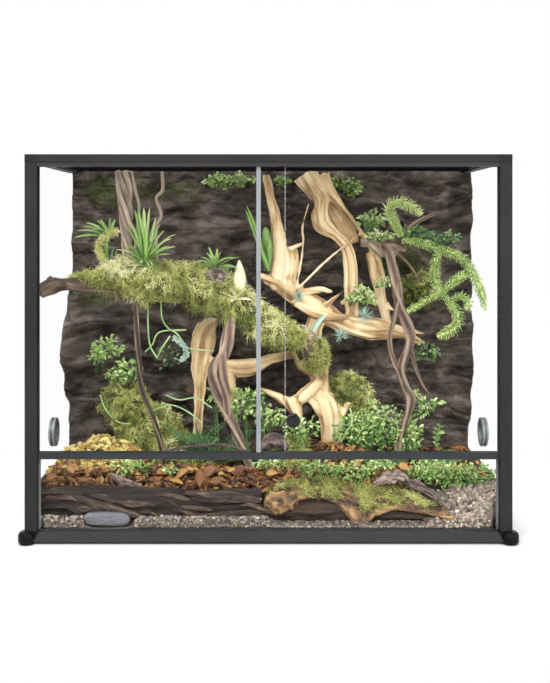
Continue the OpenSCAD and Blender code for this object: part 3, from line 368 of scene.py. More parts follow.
# grain of a fused skin: each point takes the run along, and the place across, of the limb whose surface is nearest
def grainOf(points, limbs):
    rows = []
    for k, (table, flat) in enumerate(limbs):
        path, ahead, across, run = routeOf(table, 10)
        rows.append(np.hstack([path, ahead, across, np.cross(ahead, across), run[:, None] + 0.37 * k]))
    rows = np.vstack(rows)
    flow = np.empty_like(points)
    for start in range(0, len(points), 3000):
        p = points[start:start + 3000]
        gap = np.linalg.norm(p[:, None] - rows[None, :, :3], axis=2) - 0.8 * rows[None, :, 3]
        near = rows[gap.argmin(1)]
        away = p - near[:, :3]
        flow[start:start + 3000] = np.stack([(away * near[:, 7:10]).sum(1), (away * near[:, 10:13]).sum(1),
                                             near[:, 13] + (away * near[:, 4:7]).sum(1)], 1)
    return flow


# shader helpers

def addNode(tree, kind, values=None, **settings):
    node = tree.nodes.new(kind)
    for key, value in settings.items():
        setattr(node, key, value)
    for key, value in (values or {}).items():
        if isinstance(value, bpy.types.NodeSocket):
            tree.links.new(value, node.inputs[key])
        else:
            node.inputs[key].default_value = value
    return node


def colour(code):
    parts = [int(code[k:k + 2], 16) / 255 for k in (0, 2, 4)]
    return tuple(c / 12.92 if c <= 0.04045 else ((c + 0.055) / 1.055) ** 2.4 for c in parts) + (1.0,)


def rampOf(tree, value, stops):
    ramp = addNode(tree, "ShaderNodeValToRGB", {"Fac": value})
    while len(ramp.color_ramp.elements) < len(stops):
        ramp.color_ramp.elements.new(0.5)
    for element, (place, code) in zip(ramp.color_ramp.elements, stops):
        element.position, element.color = place, colour(code)
    return ramp.outputs["Color"]


def mixOf(tree, share, first, second):
    return addNode(tree, "ShaderNodeMix", {0: share, 6: first, 7: second}, data_type="RGBA").outputs[2]


def mathOf(tree, operation, first, second=0.0, clamp=False):
    return addNode(tree, "ShaderNodeMath", {0: first, 1: second}, operation=operation, use_clamp=clamp).outputs[0]


# a group with named inputs and outputs, filled by build(tree, inputs) which returns its outputs by name
def makeGroup(name, inputs, outputs, build):
    tree = bpy.data.node_groups.new(name, "ShaderNodeTree")
    for label, kind, value in inputs:
        socket = tree.interface.new_socket(label, in_out="INPUT", socket_type=kind)
        if value is not None:
            socket.default_value = value
    for label, kind in outputs:
        tree.interface.new_socket(label, in_out="OUTPUT", socket_type=kind)
    entry, leave = tree.nodes.new("NodeGroupInput"), tree.nodes.new("NodeGroupOutput")
    for label, socket in build(tree, entry.outputs).items():
        tree.links.new(socket, leave.inputs[label])
    return tree


# patches: broad and fine noise over the surface, a mask and a height
def buildPatches(tree, given):
    broad = addNode(tree, "ShaderNodeTexNoise", {"Vector": given["Vector"], "Scale": given["Scale"], "Detail": 6.0,
                                                 "Roughness": 0.62})
    fine = addNode(tree, "ShaderNodeTexNoise", {"Vector": given["Vector"], "Scale": given["Fine"], "Detail": 3.0})
    mask = mathOf(tree, "ADD", mathOf(tree, "MULTIPLY", broad.outputs["Fac"], 0.7),
                  mathOf(tree, "MULTIPLY", fine.outputs["Fac"], 0.3))
    return {"Mask": mask, "Height": fine.outputs["Fac"]}


# streaks: noise pressed flat along the third coordinate, for wood grain and bark
def buildStreaks(tree, given):
    squeeze = addNode(tree, "ShaderNodeVectorMath", {0: given["Vector"], 1: (1.0, 1.0, 0.07)}, operation="MULTIPLY")
    line = addNode(tree, "ShaderNodeTexNoise", {"Vector": squeeze.outputs[0], "Scale": given["Scale"], "Detail": 5.0,
                                                "Roughness": 0.6, "Distortion": 0.4})
    wide = addNode(tree, "ShaderNodeTexNoise", {"Vector": given["Vector"], "Scale": given["Broad"], "Detail": 3.0})
    mask = mathOf(tree, "ADD", mathOf(tree, "MULTIPLY", line.outputs["Fac"], 0.6),
                  mathOf(tree, "MULTIPLY", wide.outputs["Fac"], 0.4))
    return {"Mask": mask, "Height": line.outputs["Fac"]}


floatKind, vectorKind = "NodeSocketFloat", "NodeSocketVector"
patches = makeGroup("patches", [("Vector", vectorKind, None), ("Scale", floatKind, 12.0), ("Fine", floatKind, 180.0)],
                    [("Mask", floatKind), ("Height", floatKind)], buildPatches)
streaks = makeGroup("streaks", [("Vector", vectorKind, None), ("Scale", floatKind, 300.0), ("Broad", floatKind, 25.0)],
                    [("Mask", floatKind), ("Height", floatKind)], buildStreaks)


# lays a second colour over a material where the piece's "along" value is high
def tintAlong(material, dark, light):
    tree = material.node_tree
    shader = tree.nodes["Principled BSDF"]
    under = shader.inputs["Base Color"].links[0].from_socket
    speck = addNode(tree, "ShaderNodeTexNoise", {"Vector": objectCoords(tree), "Scale": 160.0, "Detail": 3.0})
    over = rampOf(tree, speck.outputs["Fac"], [(0.35, dark), (0.65, light)])
    tree.links.new(mixOf(tree, attribute(tree, "along"), under, over), shader.inputs["Base Color"])
    return material


def startMaterial(name, **plain):
    material = bpy.data.materials.new(name)
    material.use_nodes = True
    tree = material.node_tree
    shader = tree.nodes["Principled BSDF"]
    for key, value in plain.items():
        shader.inputs[key.replace("_", " ")].default_value = value
    return material, tree, shader


def attribute(tree, name):
    return addNode(tree, "ShaderNodeAttribute", attribute_name=name).outputs["Vector" if name == "flow" else "Fac"]


def objectCoords(tree):
    return addNode(tree, "ShaderNodeTexCoord").outputs["Object"]


# roughness that wanders with a group's mask, and a bump from its height
def surfaceFrom(tree, shader, group, rough, strength, distance):
    spread = addNode(tree, "ShaderNodeMapRange", {"Value": group.outputs["Mask"], "From Min": 0.3, "From Max": 0.7,
                                                  "To Min": rough[0], "To Max": rough[1]})
    tree.links.new(spread.outputs[0], shader.inputs["Roughness"])
    bump = addNode(tree, "ShaderNodeBump", {"Height": group.outputs["Height"], "Strength": strength,
                                            "Distance": distance})
    tree.links.new(bump.outputs["Normal"], shader.inputs["Normal"])


# hard finishes: two close shades in patches, a roughness that wanders with them and a fine surface grain
def coated(name, dark, light, rough, grain, scale=9.0, fine=900.0, depth=0.0004, **plain):
    material, tree, shader = startMaterial(name, **plain)
    group = addNode(tree, "ShaderNodeGroup", node_tree=patches)
    tree.links.new(objectCoords(tree), group.inputs["Vector"])
    group.inputs[1].default_value, group.inputs[2].default_value = scale, fine
    tree.links.new(rampOf(tree, group.outputs["Mask"], [(0.35, dark), (0.65, light)]), shader.inputs["Base Color"])
    surfaceFrom(tree, shader, group, rough, grain, depth)
    return material


# grown finishes: a ramp read by the piece's own shade, broken up by patches or by streaks along the grain
def grown(name, stops, group, rough, grain, scale, fine, depth, share=0.45, along=0.0, **plain):
    material, tree, shader = startMaterial(name, **plain)
    node = addNode(tree, "ShaderNodeGroup", node_tree=group)
    tree.links.new(attribute(tree, "flow") if group == streaks else objectCoords(tree), node.inputs["Vector"])
    node.inputs[1].default_value, node.inputs[2].default_value = scale, fine
    value = mathOf(tree, "ADD", mathOf(tree, "MULTIPLY", attribute(tree, "tone"), 1 - share),
                   mathOf(tree, "MULTIPLY", node.outputs["Mask"], share))
    if along:
        value = mathOf(tree, "ADD", value, mathOf(tree, "MULTIPLY", attribute(tree, "along"), along))
    tree.links.new(rampOf(tree, value, stops), shader.inputs["Base Color"])
    surfaceFrom(tree, shader, node, rough, grain, depth)
    return material


# clear glass that lets lamps through
def clearGlass():
    material, tree, shader = startMaterial("clearGlass", Base_Color=(1.0, 1.0, 1.0, 1.0), Roughness=0.0, IOR=1.01,
                                           Transmission_Weight=1.0)
    path = addNode(tree, "ShaderNodeLightPath")
    through = addNode(tree, "ShaderNodeBsdfTransparent")
    mix = addNode(tree, "ShaderNodeMixShader", {0: path.outputs["Is Shadow Ray"], 1: shader.outputs[0],
                                               2: through.outputs[0]})
    tree.links.new(mix.outputs[0], tree.nodes["Material Output"].inputs["Surface"])
    return material


frameCoat = coated("frameCoat", "232323", "2c2c2c", (0.42, 0.52), 0.10, fine=1400.0, depth=0.0003,
                   Specular_IOR_Level=0.14)
footPlastic = coated("footPlastic", "060606", "0c0c0c", (0.36, 0.44), 0.05, Specular_IOR_Level=0.14)
railCoat = coated("railCoat", "2f2f30", "3a3a3b", (0.40, 0.50), 0.10, fine=1400.0, depth=0.0003, Specular_IOR_Level=0.2)
cornerPlastic = coated("cornerPlastic", "1d1d1d", "252525", (0.42, 0.50), 0.06, Specular_IOR_Level=0.14)
ventGrey = coated("ventGrey", "696c6d", "8d9091", (0.30, 0.40), 0.05, Metallic=0.35)
trackMetal = coated("trackMetal", "26282a", "303234", (0.40, 0.50), 0.06, Specular_IOR_Level=0.25)
siliconeGrey = coated("siliconeGrey", "4f5755", "626a67", (0.35, 0.5), 0.04)
edgeSeal = coated("edgeSeal", "7f8384", "93979a", (0.35, 0.45), 0.03, fine=500.0, Specular_IOR_Level=0.3)
groundEdge = coated("groundEdge", "8c9092", "a2a6a8", (0.4, 0.5), 0.03)
lockBlack = coated("lockBlack", "060606", "0c0c0d", (0.16, 0.24), 0.02)
keySteel = coated("keySteel", "2a2a2b", "434344", (0.26, 0.36), 0.05, Metallic=0.9)
lidMetal = coated("lidMetal", "0b0b0c", "131415", (0.5, 0.6), 0.08, Specular_IOR_Level=0.12)
glass = clearGlass()
rockSkin = tintAlong(grown("rockSkin", [(0.08, "0e0b0a"), (0.30, "2e2724"), (0.5, "51473f"), (0.68, "71655f"),
                                        (0.88, "93877f")],
                           patches, (0.75, 0.9), 0.9, 11.0, 150.0, 0.006, share=0.4), "2c3312", "5c6b2a")
gravelSkin = grown("gravelSkin", [(0.05, "2b2521"), (0.3, "5c524a"), (0.55, "918476"), (0.8, "c4b5a1"),
                                  (0.97, "dccfba")],
                   patches, (0.6, 0.8), 0.3, 40.0, 400.0, 0.001, share=0.2)
earthSkin = grown("earthSkin", [(0.2, "150f09"), (0.45, "33241a"), (0.65, "503a27"), (0.85, "725130")],
                  patches, (0.8, 0.95), 0.7, 30.0, 300.0, 0.003)
chipSkin = grown("chipSkin", [(0.1, "2a1a10"), (0.4, "6b4223"), (0.7, "a0652f"), (0.95, "c98e45")],
                 patches, (0.7, 0.9), 0.4, 40.0, 300.0, 0.001, share=0.25)
boulderSkin = grown("boulderSkin", [(0.15, "323235"), (0.5, "59595e"), (0.85, "818187")], patches, (0.6, 0.75), 0.4,
                    20.0, 250.0, 0.002)
barkSkin = grown("barkSkin", [(0.12, "0d0907"), (0.36, "271d18"), (0.56, "46372b"), (0.74, "70604c"), (0.92, "9a8a71")],
                 streaks, (0.75, 0.92), 0.8, 260.0, 30.0, 0.004)
mossLogSkin = grown("mossLogSkin", [(0.12, "120d0a"), (0.36, "3f2f20"), (0.58, "75593a"), (0.78, "a07f55"),
                                    (0.93, "c2a679")],
                    streaks, (0.75, 0.92), 0.8, 220.0, 30.0, 0.004)
paleWood = grown("paleWood", [(0.06, "3a2718"), (0.24, "8a6846"), (0.41, "c8aa7c"), (0.60, "e2cca4"), (0.86, "f0e2c8")],
                 streaks, (0.55, 0.75), 0.7, 340.0, 28.0, 0.003, share=0.55)
rootSkin = grown("rootSkin", [(0.15, "3d322b"), (0.4, "7b6a5b"), (0.65, "a69482"), (0.9, "c4b5a2")],
                 streaks, (0.65, 0.8), 0.6, 360.0, 30.0, 0.002, share=0.5)
vineSkin = grown("vineSkin", [(0.15, "2b211b"), (0.42, "5a493c"), (0.65, "857160"), (0.9, "a89684")],
                 streaks, (0.65, 0.82), 0.7, 320.0, 30.0, 0.003, share=0.5)
mossSkin = grown("mossSkin", [(0.06, "2c3216"), (0.28, "6a7234"), (0.5, "a3a957"), (0.72, "cfd07f"), (0.93, "eeeab8")],
                 patches, (0.6, 0.8), 0.2, 14.0, 300.0, 0.001, share=0.3, along=0.18)
mossCore = grown("mossCore", [(0.15, "22220e"), (0.40, "545a28"), (0.62, "868c48"), (0.88, "b6b46e")],
                 patches, (0.8, 0.95), 0.9, 22.0, 260.0, 0.006)
leafSkin = grown("leafSkin", [(0.06, "23401f"), (0.33, "557d41"), (0.58, "84a858"), (0.82, "a9c078"), (0.99, "d3dfa6")],
                 patches, (0.34, 0.5), 0.15, 20.0, 200.0, 0.001, share=0.2, along=0.16)
darkLeafSkin = grown("darkLeafSkin", [(0.08, "1a3018"), (0.38, "3c6038"), (0.64, "668f55"), (0.9, "9dba7c")],
                     patches, (0.34, 0.5), 0.15, 20.0, 200.0, 0.001, share=0.2, along=0.12)
tasselSkin = grown("tasselSkin", [(0.04, "2c4f22"), (0.3, "688f42"), (0.6, "9bb961"), (0.9, "d8e29c")],
                   patches, (0.34, 0.46), 0.1, 20.0, 200.0, 0.001, share=0.15, along=0.35)
knotSkin = grown("knotSkin", [(0.1, "1c140e"), (0.35, "4a3a28"), (0.6, "7d6a52"), (0.85, "cfc5b5")], streaks,
                 (0.6, 0.8), 0.7, 300.0, 30.0, 0.003)
purpleSkin = grown("purpleSkin", [(0.1, "1e1615"), (0.35, "473a38"), (0.6, "76675f"), (0.9, "b09e90")], patches,
                   (0.7, 0.9), 0.7, 40.0, 260.0, 0.003)
paleLeafSkin = grown("paleLeafSkin", [(0.1, "8fb06a"), (0.45, "c3d29a"), (0.75, "d9d6ac"), (0.97, "e6dcb8")], patches,
                     (0.4, 0.55), 0.15, 20.0, 200.0, 0.001, share=0.2)
airSkin = grown("airSkin", [(0.1, "3f6a58"), (0.4, "7fa58f"), (0.7, "b3ccba"), (0.95, "dfe9dc")], patches, (0.45, 0.6),
                0.15, 20.0, 200.0, 0.001, share=0.2)
litterSkin = grown("litterSkin", [(0.04, "281810"), (0.26, "5e3a25"), (0.46, "906439"), (0.62, "a88548"),
                                  (0.78, "b49d50"), (0.9, "c8ba6e"), (0.99, "e0d79e")],
                   patches, (0.5, 0.7), 0.2, 25.0, 200.0, 0.001, share=0.15)

finishes = {
    "frame_metal": frameCoat, "foot_plastic": footPlastic, "corner_plastic": cornerPlastic, "clear_glass": glass,
    "vent_grey": ventGrey, "track_metal": trackMetal, "silicone": siliconeGrey, "edge_seal": edgeSeal,
    "lock_black": lockBlack, "key_steel": keySteel, "lid_metal": lidMetal, "rock": rockSkin, "gravel": gravelSkin,
    "earth": earthSkin, "bark": barkSkin, "pale_wood": paleWood, "moss": mossSkin, "foliage": leafSkin,
    "dry_leaf": litterSkin,
}
for node in nodes.values():
    for place in node.material_slots:
        wanted = place.material.name.split(".")[0] if place.material else ""
        if wanted not in finishes:
            print("no finish for", node.name, wanted)
        place.material = railCoat if node.name.startswith("base_rail") else finishes.get(wanted, frameCoat)
print("scene: finishes made")

# rock background: the relief of its solid, with ledges, seams and grit added, and moss where it is damp
rockSet = {"thick": 58, "relief": 15, "ledge": 52, "ledgeDepth": 15, "grit": 15, "columns": 318, "rows": 252,
           "half": 489.6, "foot": 30.2, "low": 96, "top": 780.8, "back": 239.7,
           "flanks": [(115, -500, 345, 45, 95), (75, 500, 350, 40, 190), (62, 500, 700, 30, 120)],
           "paler": [(0.16, -170, 620, 150, 90)],
           "damp": [(1, -375, 735, 95, 45), (1, -430, 490, 45, 40), (0.9, 330, 560, 80, 60), (0.7, -200, 740, 60, 30)]}
x, z = np.meshgrid(np.linspace(-rockSet["half"], rockSet["half"], rockSet["columns"]),
                   np.concatenate([[rockSet["foot"]], np.linspace(rockSet["low"], rockSet["top"], rockSet["rows"])]))


def sine(degrees):
    return np.sin(np.radians(degrees))


def rockDepth(x, z):
    rise = np.clip((z - 143.3) / 45, 0, 1)
    lumps = (0.9 * sine(4.1 * z + 0.55 * x + 70 * sine(0.9 * x + 0.4 * z)) * (0.6 + 0.4 * sine(1.7 * x - 0.8 * z + 40))
             + 0.6 * sine(2.9 * x + 60 * sine(1.3 * z)) * sine(1.7 * z + 0.6 * x + 90)
             + 0.35 * sine(5.3 * x - 2.1 * z + 90 * sine(0.7 * z)))
    return rockSet["thick"] + rise * (rockSet["relief"] * lumps + humps(x, z, rockSet["flanks"]))


flatPlace = np.stack([x, z, 0 * x], -1)
warp = cloud(flatPlace / 130, 4, 3) - 0.5
layer = (z + 0.14 * x + 170 * warp) / rockSet["ledge"]
step = layer - np.floor(layer)
strength = np.clip(2.4 * cloud(np.stack([x / 80, np.floor(layer) * 3.1, 0 * x], -1), 3, 9) - 0.8, 0, 1)
ledges = rockSet["ledgeDepth"] * (np.minimum(step * 1.2, (1 - step) * 6) - 0.5) * strength
seams = -6 * np.clip(1 - np.abs(noiseAt(np.stack([x / 75 + 2 * warp, z / 11 + 5 * warp, 0 * x], -1), 31) - 0.5) * 8, 0,
                     1)
grit = rockSet["grit"] * (cloud(flatPlace / [30, 14, 1], 4, 41) - 0.5)
detail = (ledges + seams + grit) * np.clip((z - 100) / 40, 0, 1)
depth = np.clip(rockDepth(x, z) + detail, 12, 176)
inset = 9 * np.clip((z - 480) / 80, 0, 1) * np.clip((-380 - x) / 109.6, 0, 1)
face = np.stack([x + inset, rockSet["back"] - depth, z], -1) / 1000
face[-1, 8:-8, 2] = 0.7858
# rock tone: recessed places darker and proud ledges lighter, painted shade and highlight on the relief, over patchy
# colour and a paler patch
hollow = np.clip(0.47 + detail / 26 + 0.75 * (cloud(flatPlace / [52, 40, 1], 4, 55) - 0.5)
                 + 0.55 * (cloud(flatPlace / [15, 11, 1], 3, 56) - 0.5) + humps(x, z, rockSet["paler"]), 0, 1)
rock = block(face, 1, rockSet["back"] / 1000, hollow)
rim = rock["points"][face.shape[0] * face.shape[1]:]
rim[:, 2] = np.minimum(rim[:, 2], roomSet["ceiling"])
damp = humps(x, z, rockSet["damp"])
damp = np.clip(damp * 1.5 * cloud(flatPlace / 20, 3, 66) + 0.2 * (damp > 0.4) - 0.2, 0, 1)
rock["along"] = np.concatenate([damp.reshape(-1), np.zeros(len(rock["points"]) - damp.size)])
putPiece("rockWall", rock, rockSkin, "rock", ("rock_background",))


# the rock's front, in metres, at a place seen at px, py
def onRock(px, py, proud=0.004):
    behind = 430.0
    lastRow, lastColumn = rockSet["rows"] - 1, rockSet["columns"] - 1
    for turn in range(6):
        x, y, z = spot(px, py, behind) * 1000
        row = np.clip((z - rockSet["low"]) / (rockSet["top"] - rockSet["low"]) * lastRow + 1, 1, lastRow).astype(int)
        column = np.clip((x + rockSet["half"]) / (2 * rockSet["half"]) * lastColumn, 0, lastColumn).astype(int)
        behind = rockSet["back"] - depth[row, column] + viewSet["front"] - proud * 1000
    return spot(px, py, behind)


# ground: pebble bed at the front with its hill, soil behind it, bark chips over both
groundSet = {"pebbleTop": 43, "soilTop": 112, "pebbleCount": 2500, "paneStones": 1300, "chipCount": 1500,
             "half": 489.6, "bedFront": -229.4, "bedLevel": 0.0268, "soilFront": -153.6, "soilLevel": 0.0302}


def hillOver(x, y):
    near, far = np.interp(x, [425, 452, 478, 495], [0, 26, 46, 52]), np.interp(x, [318, 344, 400, 495], [0, 56, 61, 63])
    dip = 15 * np.exp(-((x + 330) / 52) ** 8) * np.clip((-194 - y) / 6, 0, 1)
    channel = 13 * np.clip((x + 6) / 24, 0, 1) * np.clip((400 - x) / 30, 0, 1)
    return near + (far - near) * np.clip((y + 204) / 44, 0, 1) - dip - channel


half = groundSet["half"]
x, y = np.meshgrid(np.linspace(-half, half, 220), np.linspace(groundSet["bedFront"], -150, 22))
y = np.where((np.abs(x) > 466) & (y < -220), -219.0, y)
bumps = 4 * (cloud(np.stack([x / 14, y / 14, 0 * x], -1), 3, 5) - 0.6)
bed = block(np.stack([x, y, groundSet["pebbleTop"] + hillOver(x, y) + bumps], -1) / 1000, 2, groundSet["bedLevel"],
            0.14 + bumps / 14 + 0.20 * np.clip((x - 340) / 60, 0, 1))
count = groundSet["pebbleCount"]
px = dice.uniform(-484, 484, count)
px[:500] = dice.uniform(400, 484, 500)
py = dice.uniform(-229, -158, count)
py = np.where((np.abs(px) > 464) & (py < -212), -206.0, py)
clear = (np.abs(px + 330) > 55) | (py > -192)
px, py, count = px[clear], py[clear], clear.sum()
places = np.stack([px, py, groundSet["pebbleTop"] + hillOver(px, py) + 0.5], -1) / 1000
sizes = dice.uniform(0.0024, 0.0052, count) * np.where(px > 400, 1.15, 1.0)
# pebbles under the right log's roof are darker: painted shade
shade = np.clip(dice.normal(0.33, 0.2, count) + 0.14 * (px > 350) - 0.16 * ((px > 0) & (px < 330)), 0, 1)
many = groundSet["paneStones"]
px = dice.uniform(-462, 462, many)
px = np.where(np.abs(px + 330) < 53, px + 150, px)
high = groundSet["pebbleTop"] + hillOver(px, -232)
against = np.stack([px, np.full(many, groundSet["bedFront"] - 0.4), 30.2 + (high - 29) * dice.random(many)], -1) / 1000
places = np.concatenate([places, against])
stones = pebbles(places, np.concatenate([sizes, dice.uniform(0.0022, 0.0030, many)]), 0.85,
                 np.concatenate([shade, np.clip(dice.normal(0.26, 0.2, many) + 0.20 * (px > 350), 0, 1)]))
putPiece("pebbleBed", merge([bed, stones]), gravelSkin, "gravel", ("drainage_layer",))

x, y = np.meshgrid(np.linspace(-half, half, 240),
                   np.concatenate([[groundSet["soilFront"], -152.5], np.linspace(-150, 190, 90)]))
bumps = 9 * (cloud(np.stack([x / 30, y / 30, 0 * x], -1), 4, 15) - 0.55) * np.clip((y + 153) / 6, 0, 1)
top = groundSet["soilTop"] - 3 + bumps - 12 * (y < -153)
ground = block(np.stack([x, y, top], -1) / 1000, 2, groundSet["soilLevel"], 0.4 + bumps / 16)
putPiece("soilGround", ground, earthSkin, "earth", ("soil",))
count = groundSet["chipCount"]
places = np.stack([dice.uniform(-482, 482, count), -150 + 320 * dice.random(count) ** 1.6,
                   np.full(count, groundSet["soilTop"] - 1.0)], -1) / 1000
putPiece("barkChips", pebbles(places, dice.uniform(0.003, 0.009, count), 0.35, rough=0.5), chipSkin, "earth")

# boulder: a rounded block, |x|^p + |y|^p + |z|^p = 1, pushed in by noise; it sinks a little into the pebbles
boulderSet = {"low": 27.4, "high": 59.5, "power": 3.2}
low, high = (np.array(corner) * 1000 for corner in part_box("boulder"))
low[2], high[2] = boulderSet["low"], boulderSet["high"]
middle, half = (low + high) / 2, (high - low) / 2
way = ballWays(0.001, math.pi - 0.001, 40, 72)[..., [2, 1, 0]] * [-1, 1, 1]
box = way / (np.abs(way) ** boulderSet["power"]).sum(-1, keepdims=True) ** (1 / boulderSet["power"])
rough = 1.0 - 0.16 * cloud(way * 2.6, 4, 4)[..., None] - 0.10 * np.clip(way[..., [0]] * way[..., [2]], 0, 1)
shade = np.clip(0.5 + 1.3 * (cloud(way * [4, 4, 16], 3, 14) - 0.5), 0, 1)
boulder = loft((middle + box * half * rough)[None] / 1000, shade[None])
putPiece("boulderStone", outward(boulder), boulderSkin, "rock", ("boulder",))
print("scene: rock and ground made")


# logs: plates of bark between long cracks that run slightly askew
def logSwell(w, s, seed):
    plate = noiseAt(np.stack([np.cos(w) * 6.5 + 9 * s, np.sin(w) * 5.5, s * 17 + seed], -1), 7)
    crack = np.clip(1 - np.abs(noiseAt(np.stack([np.cos(w) * 5.4 + 12 * s, np.sin(w) * 3.4, s * 6 + seed], -1), 8)
                               - 0.5) * 9, 0, 1)
    return 0.30 * (cloud(onTube(w, s, 2.2, 14, seed), 4, seed) - 0.5) + 0.26 * (plate - 0.5) - 0.24 * crack


def swellTone(swell, base=0.5, gain=1.5):
    return lambda w, s, seed: np.clip(base + gain * swell(w, s, seed), 0, 1)


def slabSwell(w, s, seed):
    p = onTube(w, s, 1.8, 30, seed)
    return 1.1 * (cloud(p, 4, seed) - 0.5) + 0.5 * (cloud(p * [3, 3, 4], 3, seed + 1) - 0.5)


def tufted(w, s, seed):
    return 1.5 * (cloud(onTube(w, s, 3, 90, seed), 3, seed) - 0.5)


logSets = {
    "logLeft": [[-484, -180, 66, 32], [-400, -179, 68, 35], [-300, -180, 66, 35], [-200, -179, 63, 33],
                [-120, -178, 63, 30], [-14, -178, 66, 28]],
    "slabs": [[[-424, -196, 88, 5], [-380, -198, 76, 9], [-330, -200, 60, 10], [-284, -200, 46, 8],
               [-262, -200, 40, 4]],
              [[-230, -195, 85, 3], [-200, -198, 68, 5], [-162, -200, 46, 5], [-146, -200, 38, 3]],
              [[-176, -194, 92, 5], [-110, -197, 86, 9], [-50, -196, 81, 8], [-14, -194, 76, 4]],
              [[-130, -199, 46, 4], [-80, -201, 48, 7], [-30, -200, 52, 6], [-10, -199, 54, 3]],
              [[-482, -196, 92, 4], [-440, -198, 94, 6], [-390, -196, 90, 4]]],
    "roof": [[264, 492, 514], [275, 485, 513], [288, 481, 508], [297, 480, 501], [310, 479, 499], [325, 480, 500],
             [336, 481, 504], [346, 483, 515], [355, 485, 526], [362, 486, 528], [369, 487, 522], [378, 487, 515],
             [390, 487, 511], [400, 489, 510], [415, 493, 512], [430, 500, 516], [445, 503, 518], [460, 507, 520],
             [472, 513, 521]],
}
for k in range(16):
    x, z = -466 + 28.5 * k + 8 * math.sin(5 * k), 66 + 20 * math.sin(2.4 * k + 1)
    logSets["slabs"].append([[x, -198, z + 2, 2], [x + 22, -200, z + 3 * math.sin(k), 5.5],
                             [x + 48, -200, z - 5 + 4 * math.cos(3 * k), 5], [x + 66, -198, z - 7, 2]])
slabs = [limb(logSets["logLeft"], 60, 46, 0.58, logSwell, swellTone(logSwell, 0.10, 1.8), 3)]
for k, table in enumerate(logSets["slabs"]):
    slabs.append(limb(table, 20, 14, 0.7, slabSwell, swellTone(slabSwell, 0.36 + 0.12 * math.sin(3 * k), 1.9), k + 2))
putPiece("logLeft", merge(slabs), barkSkin, "bark", ("log_left",))

# right log: a bark roof that arches forward from its upper to its lower edge, over a hollow that is painted dark as
# shade
rows = curveThrough(logSets["roof"], 9)
px, upper, lower = rows[:, 0], rows[:, 1], rows[:, 2] + 1.6 * (noiseAt(rows[:, [0, 0, 0]] / 5.0, 3) - 0.5)
t = np.linspace(0, 1, 18)
px, upper, lower = (np.broadcast_to(v[:, None], (len(rows), len(t))) for v in (px, upper, lower))
turn = t[None] * math.pi / 2
ends = np.sin(math.pi * np.clip((px - 262) / 300, 0, 1)) ** 0.4
ridges = cloud(np.stack([px / 16, turn * 4.5 + px / 40, 0 * px], -1), 4, 5) - 0.5
back, front = 96.0, 96 - 48 * ends
high, lip = spot(px, upper, back)[..., 2] * 1000, spot(px, lower, front)[..., 2] * 1000
behind = back - (back - front) * np.sin(turn) - 9 * ridges
outer = spot(px, upper, behind) * 1000
outer[..., 2] = lip + (high - lip) * np.cos(turn) ** 0.9 + 8 * ridges * np.cos(turn)
inner = (outer + [0, 6, -5])[:, ::-1]
roof = np.concatenate([outer, inner], 1) / 1000
roof[..., 2] = np.maximum(roof[..., 2], 0.0285)
patch = cloud(np.stack([px / 22, turn * 2.2 + 0 * px, 0 * px], -1), 3, 21)
mossy = np.clip((patch + 0.28 * (1 - t[None]) + 0.10 * ((px > 352) & (px < 420)) - 0.57) * 7, 0, 1) * (t[None] < 0.86)
flakes = cloud(np.stack([px / 4, turn * 9 + px / 30, 0 * px], -1), 3, 6) - 0.5
shade = np.clip(0.40 + 1.6 * ridges + 1.2 * flakes + 0.2 * (t[None] > 0.84), 0, 1)
# the roof's inner side takes a flat dark tone: painted shade under the roof
roofPart = outward(loft(roof[None], np.concatenate([shade, 0 * shade + 0.1], 1)[None],
                        np.concatenate([mossy, 0 * mossy], 1)[None], roof[None][..., [2, 1, 0]]))
# near-black log that fills the hollow under the roof: painted shade
hollow = limb([[-2, -176, 50, 20], [80, -176, 51, 24], [190, -176, 51, 24], [300, -176, 50, 23], [400, -178, 44, 16]],
              40, 24, 0.85,
              logSwell, swellTone(logSwell, 0.06, 0.7), 6)
hollow["along"] = 0 * hollow["along"]
wedge = limb([[-8, -197, 64, 6], [8, -199, 70, 19], [32, -199, 74, 20], [52, -197, 80, 13], [64, -194, 86, 5]], 22, 12,
             0.45,
             tufted, swellTone(tufted, 0.66, 1.6), 8)
wedge["along"] = 0 * wedge["along"]
putPiece("logRight", merge([roofPart, hollow, wedge]), mossLogSkin, "bark", ("log_right",))


# moss: from each place a sheaf of short strands fans out round its outward way
def mossClumps(place, away, strands, long, width=0.0016, fan=0.75, sag=0.15, tone=None, lighter=0.0):
    count = len(place) * strands
    if tone is None:
        # by default strands that point up are lighter: a painted highlight from above, over patchy colour
        tone = 0.36 + 0.28 * away[:, 2] + 1.9 * (cloud(place * 34, 3, 7) - 0.5) + lighter
    own = np.repeat(place, strands, axis=0) + dice.normal(0, 0.0028, (count, 3))
    way = np.repeat(away, strands, axis=0)
    size = np.repeat(np.broadcast_to(long, (len(place),)), strands)[:, None] * dice.uniform(0.4, 1.35, (count, 1))
    reach = size * (unit(way + dice.normal(0, fan, (count, 3))) - np.array([0, 0, sag]))
    middle = size * 0.5 * unit(way + dice.normal(0, fan, (count, 3)))
    shade = np.clip(np.repeat(tone, strands) + dice.normal(0, 0.11, count), 0, 1)
    return ribbons(own, reach, middle, width * dice.uniform(0.7, 1.5, count), strandShape, 3, 3, 0.8, shade)


count = 900
row, column = dice.integers(2, roof.shape[0] - 2, count), (dice.random(count) * 15).astype(int)
keep = mossy[row, column] > 0.35
row, column = row[keep], column[keep]
away = unit(np.stack([0 * row, -np.sin(turn[0, column]), np.cos(turn[0, column]) + 0.2], -1))
putPiece("logMoss", mossClumps(roof[row, column], away, 11, 0.0085, tone=0.13 + 1.2
                               * (cloud(roof[row, column] * 40, 3, 8) - 0.3)),
         mossSkin, "moss")

